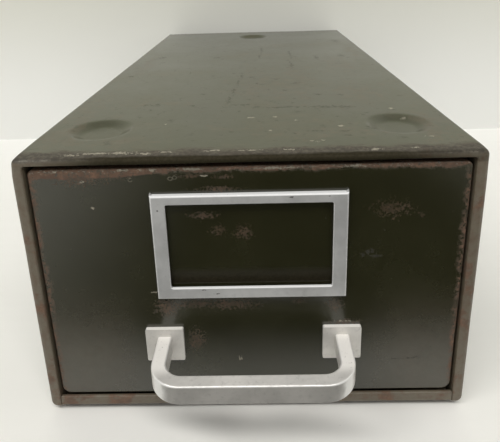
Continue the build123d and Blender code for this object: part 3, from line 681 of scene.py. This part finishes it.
def finish_of(slot):
    """The material for one of the unit's finishes, made when it is first asked for."""
    name = slot.replace("_", " ")
    if name in bpy.data.materials:
        return bpy.data.materials[name]
    paint = bpy.context.scene.card_unit_paint
    metal = bpy.context.scene.card_unit_metal
    finishes = {
        "case_paint": (worn_paint, paint.case_colour, case_marks, 0.4, 0.25, 0.02, paint.case_roughness),
        "drawer_paint": (
            worn_paint, paint.drawer_colour, face_marks, 0.7, 0.0, 0.004, paint.drawer_roughness),
        "inner_paint": (worn_paint, paint.case_colour, inner_marks, 0.3, 0.3, 0.01, paint.case_roughness),
        "frame_aluminium": (
            worn_metal, metal.frame_colour, 0.30, 0.0, 0.25, 0.5, 0.0, (0.64, 0.80, 1.3), FRAME_NICKS_MM),
        # The handle has painted shade on its bar's front and, like the frame, a painted highlight on its
        # bends.
        "handle_aluminium": (worn_metal, metal.handle_colour, 0.42, 0.5, 0.5, 0.35, 0.5, (0.68, 0.80, 1.14)),
        "plated_steel": (worn_metal, metal.plated_colour, 0.32, 0.0, 0.35),
        "spring_steel": (worn_metal, metal.spring_colour, 0.30, 0.0, 0.3),
        "buffer_rubber": (rubber,),
    }
    make, *values = finishes[slot]
    return make(name, *values)


def dress(slot, *nodes):
    """Gives carried-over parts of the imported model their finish."""
    for node in nodes:
        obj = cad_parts[node]
        if not obj.material_slots:
            obj.data.materials.append(None)
        for material_slot in obj.material_slots:
            material_slot.material = finish_of(slot)


def welded(node):
    """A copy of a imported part's mesh with its triangles joined up, for editing."""
    shell = bmesh.new()
    shell.from_mesh(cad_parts[node].data)
    bmesh.ops.remove_doubles(shell, verts=shell.verts, dist=WELD_REACH)
    return shell


def cut_square(shell, parts, axis, at):
    """Cuts parts of a mesh along a plane square to an axis, and returns them with the new ones."""
    place, normal = Vector((0, 0, 0)), Vector((0, 0, 0))
    place[axis] = at
    normal[axis] = 1
    return bmesh.ops.bisect_plane(shell, geom=parts, plane_co=place, plane_no=normal, dist=CUT_REACH)["geom"]


def slice_grid(shell, axis, low, high, step):
    """Cuts a mesh along evenly spaced planes, so that its flat walls can be bent."""
    count = ceil((high - low) / step)
    for index in range(1, count):
        whole = shell.verts[:] + shell.edges[:] + shell.faces[:]
        cut_square(shell, whole, axis, low + (high - low) * index / count)


def slice_round(shell, centre, reach, step):
    """Cuts the sheet round one dimple finely, and only there."""
    near = []
    for face in shell.faces:
        middle = face.calc_center_median()
        if middle.z > TOP_Z - DIMPLE_ZONE and (middle.xy - centre).length < reach + 5 * MM:
            near.append(face)
    count = ceil(2 * reach / step)
    for axis in (0, 1):
        for index in range(count + 1):
            edges = dict.fromkeys(edge for face in near for edge in face.edges)
            verts = dict.fromkeys(vert for edge in edges for vert in edge.verts)
            at = centre[axis] - reach + 2 * reach * index / count
            found = cut_square(shell, list(verts) + list(edges) + near, axis, at)
            near = [item for item in found if isinstance(item, bmesh.types.BMFace)]


def soften_dimples(shell, shape):
    """Gives the drawn dimples the soft shoulders of a pressing, on both faces of the sheet."""
    for x, y in DIMPLES_MM:
        centre = Vector((x * MM, y * MM))
        slice_round(shell, centre, shape.dimple_reach, DIMPLE_STEP)
        shell.normal_update()
        for vert in shell.verts:
            away = (vert.co.xy - centre).length
            if vert.co.z < TOP_Z - DIMPLE_ZONE or away > shape.dimple_reach:
                continue
            sunk = shape.dimple_depth * (1 - ramp(away, shape.dimple_floor, shape.dimple_reach))
            under = shape.sheet_thickness if vert.normal.z < 0 else 0
            vert.co.z = TOP_Z - sunk - under


def settle(shell, name, body, slot, replaced):
    """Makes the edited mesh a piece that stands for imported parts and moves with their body. Its flat
    walls stay flat beside their rounded edges."""
    bmesh.ops.triangulate(shell, faces=[face for face in shell.faces if len(face.verts) > 4])
    mesh = bpy.data.meshes.new(name)
    shell.to_mesh(mesh)
    shell.free()
    if "custom_normal" in mesh.attributes:
        mesh.attributes.remove(mesh.attributes["custom_normal"])
    mesh.shade_smooth()
    mesh.set_sharp_from_angle(angle=SHEET_SHARP)
    mesh.materials.clear()
    mesh.materials.append(finish_of(slot))
    obj = take_place(bpy.data.objects.new(name, mesh), body, replaced)
    obj.modifiers.new("flat walls", "WEIGHTED_NORMAL").keep_sharp = True


def take_place(obj, body, replaced):
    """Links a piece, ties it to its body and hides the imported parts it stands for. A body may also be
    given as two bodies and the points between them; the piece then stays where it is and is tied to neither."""
    bpy.context.scene.collection.objects.link(obj)
    if isinstance(body, str):
        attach(obj, body)
    else:
        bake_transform(obj)
    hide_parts(*replaced)
    return obj


def ramp(value, low, high):
    """0 below low, 1 above high, smooth between."""
    part = min(1.0, max(0.0, (value - low) / (high - low)))
    return part * part * (3 - 2 * part)


def rolled(point, reach, drop):
    """How far the top's front edge, beaten down by use, lies under the flat top."""
    near = 1 - min(1.0, max(0.0, (point.y - FRONT_Y) / reach))
    return -drop * near * near * ramp(point.z, TOP_Z - 4 * MM, TOP_Z - 2 * MM)


def pushed(point, dents_mm):
    """Sum of the pushes that reach a point."""
    total = Vector((0, 0, 0))
    for centre, reach, push in dents_mm:
        away = sum(((point[i] - centre[i] * MM) / (reach[i] * MM)) ** 2 for i in range(3))
        if away < DENT_END:
            total += Vector(push) * MM * exp(-away)
    return total


class GeometryBuild(Graph):
    """A Geometry Nodes tree with named inputs, whose result becomes a plain mesh."""

    def __init__(self, name):
        super().__init__(bpy.data.node_groups.new(name, "GeometryNodeTree"))
        self.tree.interface.new_socket("Geometry", in_out="OUTPUT", socket_type="NodeSocketGeometry")
        self.name = name
        self.values = {}

    def inputs(self, **values):
        """Adds one named input for each value, and returns them in the same order."""
        for name, value in values.items():
            kind = {int: "NodeSocketInt", float: "NodeSocketFloat"}.get(type(value), "NodeSocketVector")
            socket = self.tree.interface.new_socket(
                name.replace("_", " ").title(), in_out="INPUT", socket_type=kind)
            self.values[socket.identifier] = value
        given = self.tree.nodes.new("NodeGroupInput").outputs
        return [Value(self, socket) for socket in given[:len(values)]]

    def move(self, geometry, to=None, turn=None, size=None):
        return self.put(
            "GeometryNodeTransform",
            {"Geometry": geometry, "Translation": to, "Rotation": turn, "Scale": size})

    def rod(self, radius, length):
        """A round rod that stands on the origin."""
        rod = self.put(
            "GeometryNodeMeshCylinder", {"Vertices": ROD_SIDES, "Radius": radius, "Depth": length})
        return self.move(rod, self.xyz(z=length * 0.5))

    def ring(self, radius, width, height):
        """A flat ring round the origin."""
        path = self.put("GeometryNodeCurvePrimitiveCircle", {"Resolution": RING_SIDES, "Radius": radius})
        section = self.put("GeometryNodeCurvePrimitiveQuadrilateral", {"Width": width, "Height": height})
        return self.put("GeometryNodeCurveToMesh", {"Curve": path, "Profile Curve": section})

    def pair(self, start, step):
        """Two points."""
        return self.put("GeometryNodeMeshLine", {"Count": 2, "Start Location": start, "Offset": step})

    def together(self, *pieces):
        node = self.tree.nodes.new("GeometryNodeJoinGeometry")
        for piece in pieces:
            self.join(piece, node.inputs[0])
        return Value(self, node.outputs[0])

    def repeat(self, points, instance, turn=None):
        return self.put(
            "GeometryNodeInstanceOnPoints", {"Points": points, "Instance": instance, "Rotation": turn})

    def mesh(self, geometry, material):
        """Ends the tree, runs it and returns its mesh."""
        real = self.put("GeometryNodeRealizeInstances", {0: geometry})
        done = self.put("GeometryNodeSetMaterial", {"Geometry": real, "Material": material})
        self.join(done, self.tree.nodes.new("NodeGroupOutput").inputs[0])
        holder = bpy.data.objects.new(self.name, bpy.data.meshes.new(self.name))
        bpy.context.scene.collection.objects.link(holder)
        modifier = holder.modifiers.new("build", "NODES")
        modifier.node_group = self.tree
        for identifier, value in self.values.items():
            modifier[identifier] = value
        depsgraph = bpy.context.evaluated_depsgraph_get()
        result = bpy.data.meshes.new_from_object(holder.evaluated_get(depsgraph), depsgraph=depsgraph)
        holder.modifiers.remove(modifier)
        bpy.data.objects.remove(holder)
        if not result.polygons:
            raise RuntimeError(f"{self.name} came out empty")
        return result

    def piece(self, geometry, body, slot, replaced, sharp=32):
        """Makes the tree's mesh a piece, with its normals outwards and its hard edges kept."""
        mesh = self.mesh(geometry, finish_of(slot))
        mesh.name = self.name
        shell = bmesh.new()
        shell.from_mesh(mesh)
        bmesh.ops.recalc_face_normals(shell, faces=shell.faces)
        shell.to_mesh(mesh)
        shell.free()
        mesh.shade_smooth()
        mesh.set_sharp_from_angle(angle=radians(sharp))
        take_place(bpy.data.objects.new(self.name, mesh), body, replaced)


def rivets(name, node, head, direction, body):
    """Two domed rivets, set at the ends of a packed pair, in line with a direction."""
    low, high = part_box(node)
    middle = (low + high) / 2
    spread = Vector([(high - low)[i] / 2 - head if direction[i] else 0 for i in range(3)])
    build = GeometryBuild(name)
    start, step, radius, shank, length, dome = build.inputs(
        start=tuple(Vector((middle.x, middle.y, low.z)) - spread), step=tuple(2 * spread),
        head_radius=head, shank_radius=0.58 * head, length=high.z - low.z, dome_height=0.5 * head)
    straight = length - dome
    ball = build.put(
        "GeometryNodeMeshUVSphere", {"Segments": ROD_SIDES, "Rings": DOME_RINGS, "Radius": 1.0})
    cap = build.move(ball, build.xyz(z=straight), size=build.xyz(radius, radius, dome))
    rivet = build.together(build.rod(shank, straight), cap)
    build.piece(build.repeat(build.pair(start, step), rivet), body, "plated_steel", [node])


def rectangle(name, low, high, material):
    """A flat rectangle between two opposite corners, lying or upright."""
    corners = (low, (high[0], low[1], low[2]), high, (low[0], high[1], high[2]))
    mesh = bpy.data.meshes.new(name)
    mesh.from_pydata(corners, [], [(0, 1, 2, 3)])
    mesh.materials.append(material)
    obj = bpy.data.objects.new(name, mesh)
    bpy.context.scene.collection.objects.link(obj)
    return obj


def floor_laminate(settings):
    graph = Surface("floor laminate")
    streaks = graph.noise(130.0, 4, 0.6, stretch=(0.05, 1.0, 1.0))
    dots = graph.effect(specks, scale=120.0, size=0.03, share=0.035)
    # Painted light: the floor grows lighter towards the backdrop.
    back = graph.span(graph.parts(graph.place)[1], -0.24, 0.02)
    tone = graph.mix(back, settings.floor_colour, settings.floor_far_colour)
    tone = graph.mix(graph.span(streaks, 0.3, 0.7, 0.02, 0.0), tone, (0.6, 0.58, 0.52))
    tone = graph.mix(dots * 0.35, tone, (0.25, 0.22, 0.18))
    graph.feed({"Base Color": tone, "Roughness": streaks.times(0.06, 0.42)})
    return graph.material


def backdrop_paper(settings):
    """Paper that can only be seen from the front, with shade painted on it: darker higher up."""
    graph = Surface("backdrop")
    height = graph.span(graph.parts(graph.place)[2], 0.04, 0.26)
    tone = graph.mix(height, settings.wall_low_colour, settings.wall_high_colour)
    graph.feed({"Base Color": tone, "Roughness": graph.noise(90.0).times(0.1, 0.6)})
    behind = graph.put("ShaderNodeNewGeometry", output="Backfacing")
    clear = graph.put("ShaderNodeBsdfTransparent")
    seen = graph.put("ShaderNodeMixShader", {0: behind, 1: Value(graph, graph.shader.outputs[0]), 2: clear})
    graph.join(seen, graph.tree.nodes["Material Output"].inputs["Surface"])
    return graph.material


def dark_card():
    """Card that darkens what the drawer's face mirrors, and fades out near the unit and sideways."""
    graph = Surface("dark card")
    x, y, z = graph.parts(graph.place)
    middle = graph.span(abs(x), 0.085, 0.030)
    near = graph.span(middle.times(-0.012, y), -0.260, -0.203, 1.0, 0.0)
    graph.feed({
        "Alpha": near * graph.span(abs(x - 0.06), 0.10, 0.34, 1.0, 0.0),
        "Base Color": (0.012, 0.012, 0.008, 1), "Roughness": 1.0, "Specular IOR Level": 0.0})
    return graph.material


class StageOperator(bpy.types.Operator):
    """Lay the floor and the backdrop, and place the lamps and the camera"""

    bl_idname = "card_unit.stage"
    bl_label = "Stage"

    def execute(self, context):
        settings = context.scene.card_unit_stage
        self.surfaces(settings)
        self.lights(context.scene, settings)
        self.camera(context.scene, settings)
        context.scene.view_settings.view_transform = "Standard"
        return {"FINISHED"}

    def surfaces(self, settings):
        reach = 4.0
        floor = rectangle("floor", (-reach, -reach, 0), (reach, reach, 0), floor_laminate(settings))
        y = settings.wall_y
        wall = rectangle("backdrop", (-reach, y, 0), (reach, y, 0.9), backdrop_paper(settings))
        material = dark_card()
        lying = ("dark_card_low", (-0.6, -0.9, 0.004), (0.7, -0.198, 0.004))
        upright = ("dark_card_high", (-0.6, -0.9, 0), (0.7, -0.9, 1.5))
        for name, low, high in (lying, upright):
            card = rectangle(name, low, high, material)
            for ray in ("camera", "diffuse", "transmission", "shadow"):
                setattr(card, "visible_" + ray, False)

    def lights(self, scene, settings):
        scene.world = bpy.data.worlds.new("sky")
        scene.world.use_nodes = True
        background = scene.world.node_tree.nodes["Background"]
        background.inputs["Color"].default_value = (*settings.sky_colour, 1)
        background.inputs["Strength"].default_value = settings.sky_strength
        lamps = (
            ("soft_lamp", settings.lamp_place, settings.lamp_power, settings.lamp_length,
             settings.lamp_width),
            ("side_lamp", settings.side_place, settings.side_power, settings.side_size,
             settings.side_size))
        for name, place, power, length, width in lamps:
            lamp = bpy.data.lights.new(name, "AREA")
            lamp.shape = "RECTANGLE"
            lamp.size, lamp.size_y = length, width
            lamp.energy = power
            lamp.color = settings.lamp_colour
            holder = bpy.data.objects.new(name, lamp)
            scene.collection.objects.link(holder)
            turn = (-Vector(place)).to_track_quat("-Z", "Y").to_matrix().to_4x4()
            holder.matrix_world = Matrix.Translation(place) @ turn

    def camera(self, scene, settings):
        camera = bpy.data.cameras.new("photo_camera")
        camera.sensor_width = 36.0
        camera.lens = settings.lens
        camera.shift_y = settings.shift
        camera.clip_start = 0.01
        view = bpy.data.objects.new("photo_camera", camera)
        scene.collection.objects.link(view)
        turn = Matrix.Rotation(settings.camera_turn, 3, "Z") @ Matrix.Rotation(-settings.camera_tilt, 3, "X")
        turn = turn @ Matrix.Rotation(settings.camera_roll, 3, "Y") @ Matrix.Rotation(pi / 2, 3, "X")
        view.matrix_world = Matrix.Translation(settings.camera_place) @ turn.to_4x4()
        scene.camera = view


class CaseOperator(bpy.types.Operator):
    """Bend the case's sheet: dents, slack panels, soft dimples and worn paint"""

    bl_idname = "card_unit.case"
    bl_label = "Case"

    def execute(self, context):
        shape = context.scene.card_unit_shape
        shell = welded("case_wrapper")
        for axis in range(3):
            slice_grid(shell, axis, CASE_LOW[axis], CASE_HIGH[axis], shape.grid_step)
        slice_grid(shell, 1, FRONT_Y, FRONT_Y + shape.roll_reach, ROLL_STEP)
        soften_dimples(shell, shape)
        half = CASE_HIGH.x
        for vert in shell.verts:
            point = vert.co.copy()
            move = pushed(point, CASE_DENTS_MM)
            move.z += rolled(point, shape.roll_reach, shape.roll_drop)
            wave = noise.noise(point * 16.0) + 0.5 * noise.noise(point * 37.0 + Vector((5, 1, 3)))
            wave = min(0.0, wave - 0.35) * shape.sheet_waves
            inside = ramp(point.y - FRONT_Y, 4 * MM, 30 * MM)
            move.z += wave * inside * ramp(point.z, TOP_Z - 4 * MM, TOP_Z - 1.2 * MM)
            side = ramp(abs(point.x), half - 2.0 * MM, half - 1.2 * MM)
            move.x += wave * inside * side * (1 if point.x > 0 else -1)
            vert.co = point + move
        settle(shell, "case_shell", "case", "case_paint", ["case_wrapper"])
        return {"FINISHED"}


class BaseOperator(bpy.types.Operator):
    """Finish the floor sheet with its front rim"""

    bl_idname = "card_unit.base"
    bl_label = "Base"

    def execute(self, context):
        settle(welded("base_panel"), "base_sheet", "case", "case_paint", ["base_panel"])
        return {"FINISHED"}


class CaseInsideOperator(bpy.types.Operator):
    """Finish the case's rails, back, stop spring and buffers"""

    bl_idname = "card_unit.case_inside"
    bl_label = "Inside of the Case"

    def execute(self, context):
        rails = ("left_runner", "right_runner", "left_kicker_rail", "right_kicker_rail")
        dress("inner_paint", "back_panel", *rails)
        dress("spring_steel", "stop_spring")
        dress("buffer_rubber", "rear_buffers")
        head = context.scene.card_unit_shape.rivet_head
        rivets("stop_rivets", "stop_spring_rivets", head, (0, 1, 0), "case")
        return {"FINISHED"}


class FaceOperator(bpy.types.Operator):
    """Wave the drawer's pressed face a little and give it its worn paint"""

    bl_idname = "card_unit.face"
    bl_label = "Drawer Face"

    def execute(self, context):
        shape = context.scene.card_unit_shape
        shell = welded("drawer_front")
        slice_grid(shell, 0, FACE_LOW.x, FACE_HIGH.x, shape.grid_step)
        slice_grid(shell, 2, FACE_LOW.z, FACE_HIGH.z, shape.grid_step)
        low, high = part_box("handle_washers")
        reach = (high.z - low.z) / 2
        plates = [Vector((x, 0, (low.z + high.z) / 2)) for x in (low.x + reach, high.x - reach)]
        for vert in shell.verts:
            point = vert.co.copy()
            wave = noise.noise(point * 21.0) + 0.4 * noise.noise(point * 55.0)
            gaps = [Vector((point.x - at.x, 0, point.z - at.z)).length for at in plates]
            calm = ramp(min(gaps), 13 * MM, 24 * MM)
            front = ramp(FACE_LOW.y + 6 * MM - point.y, 0, 4 * MM)
            vert.co.y += (wave + 0.6) * shape.face_waves * calm * front
        settle(shell, "drawer_face", "drawer", "drawer_paint", ["drawer_front"])
        return {"FINISHED"}


class LabelFrameOperator(bpy.types.Operator):
    """Finish the label frame and push the toothed clips on its pins"""

    bl_idname = "card_unit.label_frame"
    bl_label = "Label Frame"

    def execute(self, context):
        settle(welded("label_frame"), "card_frame", "drawer", "frame_aluminium", ["label_frame"])
        self.clips(context.scene.card_unit_shape.clip_radius)
        return {"FINISHED"}

    def clips(self, outer):
        """Four round clips, each a dished ring with six teeth, at the corners of a grid."""
        low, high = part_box("label_frame_clips")
        build = GeometryBuild("frame_clips")
        middle, wide, tall, radius, thick, teeth = build.inputs(
            middle=((low.x + high.x) / 2, low.y, (low.z + high.z) / 2),
            width=high.x - low.x - 2 * outer, height=high.z - low.z - 2 * outer,
            clip_radius=outer, thickness=0.4 * MM, teeth=6)
        grid = build.put(
            "GeometryNodeMeshGrid", {"Size X": wide, "Size Y": tall, "Vertices X": 2, "Vertices Y": 2})
        points = build.move(grid, middle, turn=(radians(90), 0, 0))
        ring = build.ring(radius * 0.82, radius * 0.34, thick)
        tooth = build.put("GeometryNodeMeshCube", {"Size": build.xyz(radius * 0.36, 1.1 * MM, thick)})
        tooth = build.move(tooth, build.xyz(radius * 0.53, 0.0, 0.3 * MM), turn=(0, radians(24), 0))
        starts = build.put("GeometryNodeCurvePrimitiveCircle", {"Resolution": teeth, "Radius": 1e-5})
        turn = build.put("GeometryNodeInputIndex") * build.math("DIVIDE", 2 * pi, teeth)
        clip = build.together(build.repeat(starts, tooth, build.xyz(z=turn)), ring)
        clip = build.move(clip, (0, 0, 0.28 * MM))
        clips = build.repeat(points, clip, (radians(-90), 0, 0))
        build.piece(clips, "drawer", "spring_steel", ["label_frame_clips"])


class HandleOperator(bpy.types.Operator):
    """Finish the cast handle and set its two slotted screws with their washers"""

    bl_idname = "card_unit.handle"
    bl_label = "Handle"

    def execute(self, context):
        settle(welded("drawer_handle"), "cast_handle", "drawer", "handle_aluminium", ["drawer_handle"])
        self.fixings(context.scene.card_unit_shape.screw_head)
        return {"FINISHED"}

    def fixings(self, head):
        """Two pan head screws with a cut slot, each through a washer."""
        low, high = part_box("handle_screws")
        washer_low, washer_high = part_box("handle_washers")
        build = GeometryBuild("handle_fixings")
        start, step, radius, shank, length, height, washer, washer_at, thick = build.inputs(
            start=(low.x + head, low.y, (low.z + high.z) / 2), step=(high.x - low.x - 2 * head, 0.0, 0.0),
            head_radius=head, shank_radius=1.9 * MM, length=washer_high.y - low.y,
            head_height=high.y - washer_high.y, washer_radius=(washer_high.z - washer_low.z) / 2,
            washer_place=(washer_low.y + washer_high.y) / 2 - low.y,
            washer_thickness=washer_high.y - washer_low.y)
        cone = build.put(
            "GeometryNodeMeshCone",
            {"Vertices": RING_SIDES, "Radius Top": radius * 0.62, "Radius Bottom": radius, "Depth": height})
        slot = build.put("GeometryNodeMeshCube", {"Size": build.xyz(1 * MM, 20 * MM, height)})
        slot = build.move(slot, build.xyz(z=height * 0.95))
        cap = build.put("GeometryNodeMeshBoolean", {"Mesh 1": cone, "Mesh 2": slot}, operation="DIFFERENCE")
        cap = build.move(cap, build.xyz(z=length))
        ring = build.move(build.ring(washer * 0.75, washer * 0.5, thick), build.xyz(z=washer_at))
        screw = build.together(build.rod(shank, length), cap, ring)
        placed = build.repeat(build.pair(start, step), screw, (radians(-90), 0, 0))
        build.piece(placed, "drawer", "plated_steel", ["handle_screws", "handle_washers"])


class TrayOperator(bpy.types.Operator):
    """Finish the tray, its back, the liner and the follower's track"""

    bl_idname = "card_unit.tray"
    bl_label = "Tray"

    def execute(self, context):
        dress("inner_paint", "drawer_front_liner", "drawer_tray", "drawer_back")
        dress("plated_steel", "follower_track")
        return {"FINISHED"}


class FollowerOperator(bpy.types.Operator):
    """Finish the card follower and rivet its plate to the carriage"""

    bl_idname = "card_unit.follower"
    bl_label = "Card Follower"

    def execute(self, context):
        dress("inner_paint", "follower_plate")
        dress("plated_steel", "follower_carriage", "follower_lever", "lever_pin")
        head = context.scene.card_unit_shape.rivet_head
        rivets("carriage_rivets", "follower_rivets", head, (1, 0, 0), "follower")
        return {"FINISHED"}


class LeverSpringOperator(bpy.types.Operator):
    """Wind the release lever's spring: a leg, the coil and a second leg, as one wire"""

    bl_idname = "card_unit.lever_spring"
    bl_label = "Lever Spring"

    def execute(self, context):
        shape = context.scene.card_unit_shape
        low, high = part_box("lever_spring")
        build = GeometryBuild("lever_wire")
        left, wire, coil, pitch, turns, low_z, high_z, axis_y, axis_z = build.inputs(
            left_end=low.x + shape.wire_radius, wire_radius=shape.wire_radius,
            coil_radius=shape.coil_radius, coil_pitch=shape.coil_pitch, turns=shape.coil_turns,
            lower_end=low.z, upper_end=high.z, axis_y=PIN_Y, axis_z=PIN_Z)
        parts = 20
        last = turns.times(parts, 2)
        line = build.put(
            "GeometryNodeResampleCurve",
            {"Curve": build.put("GeometryNodeCurvePrimitiveLine"), "Count": last + 1})
        index = build.put("GeometryNodeInputIndex")
        at_start = build.math("LESS_THAN", index, 0.5)
        at_end = build.math("GREATER_THAN", index, last - 0.5)
        step = build.math("MINIMUM", (index - 1) | 0, turns * parts)
        turn = step * (2 * pi / parts)
        x = build.math("DIVIDE", step, parts).times(pitch, left)
        y = build.math("COSINE", turn).times(coil, axis_y)
        y = at_end.times(0.9 * MM, y)
        z = build.math("SINE", turn).times(coil, axis_z)
        z = build.blend(at_end, build.blend(at_start, z, low_z), high_z)
        bent = build.put("GeometryNodeSetPosition", {"Geometry": line, "Position": build.xyz(x, y, z)})
        profile = build.put("GeometryNodeCurvePrimitiveCircle", {"Resolution": 10, "Radius": wire})
        swept = build.put(
            "GeometryNodeCurveToMesh", {"Curve": bent, "Profile Curve": profile, "Fill Caps": True})
        twist = ("follower", "lever", (low.x, PIN_Y, PIN_Z), (high.x, PIN_Y, PIN_Z))
        build.piece(swept, twist, "spring_steel", ["lever_spring"], sharp=60)
        return {"FINISHED"}


OPERATORS = (
    StageOperator, CaseOperator, BaseOperator, CaseInsideOperator, FaceOperator,
    LabelFrameOperator, HandleOperator, TrayOperator, FollowerOperator, LeverSpringOperator)
SETTINGS = {
    "card_unit_stage": StageSettings, "card_unit_paint": PaintSettings,
    "card_unit_metal": MetalSettings, "card_unit_shape": ShapeSettings}


class CardUnitPanel(bpy.types.Panel):
    """Lists the steps that build the unit, and its sizes and colours"""

    bl_idname = "VIEW3D_PT_card_unit"
    bl_label = "Card Index Drawer Unit"
    bl_space_type = "VIEW_3D"
    bl_region_type = "UI"
    bl_category = "Card Unit"

    def draw(self, context):
        for operator in OPERATORS:
            self.layout.operator(operator.bl_idname)
        for name, group in SETTINGS.items():
            box = self.layout.box()
            box.label(text=name.replace("card_unit_", "").title())
            for prop in group.__annotations__:
                box.prop(getattr(context.scene, name), prop)


def register():
    for group in SETTINGS.values():
        for key, setting in group.__annotations__.items():
            setting.keywords["name"] = key.replace("_", " ").title()
        bpy.utils.register_class(group)
    for name, group in SETTINGS.items():
        setattr(bpy.types.Scene, name, PointerProperty(type=group))
    for operator in OPERATORS:
        bpy.utils.register_class(operator)
    bpy.utils.register_class(CardUnitPanel)


def unregister():
    bpy.utils.unregister_class(CardUnitPanel)
    for operator in reversed(OPERATORS):
        bpy.utils.unregister_class(operator)
    for name in SETTINGS:
        delattr(bpy.types.Scene, name)
    for group in SETTINGS.values():
        bpy.utils.unregister_class(group)


def main():
    register()
    for operator in OPERATORS:
        family, step = operator.bl_idname.split(".")
        getattr(getattr(bpy.ops, family), step)()


if __name__ == "__main__":
    main()
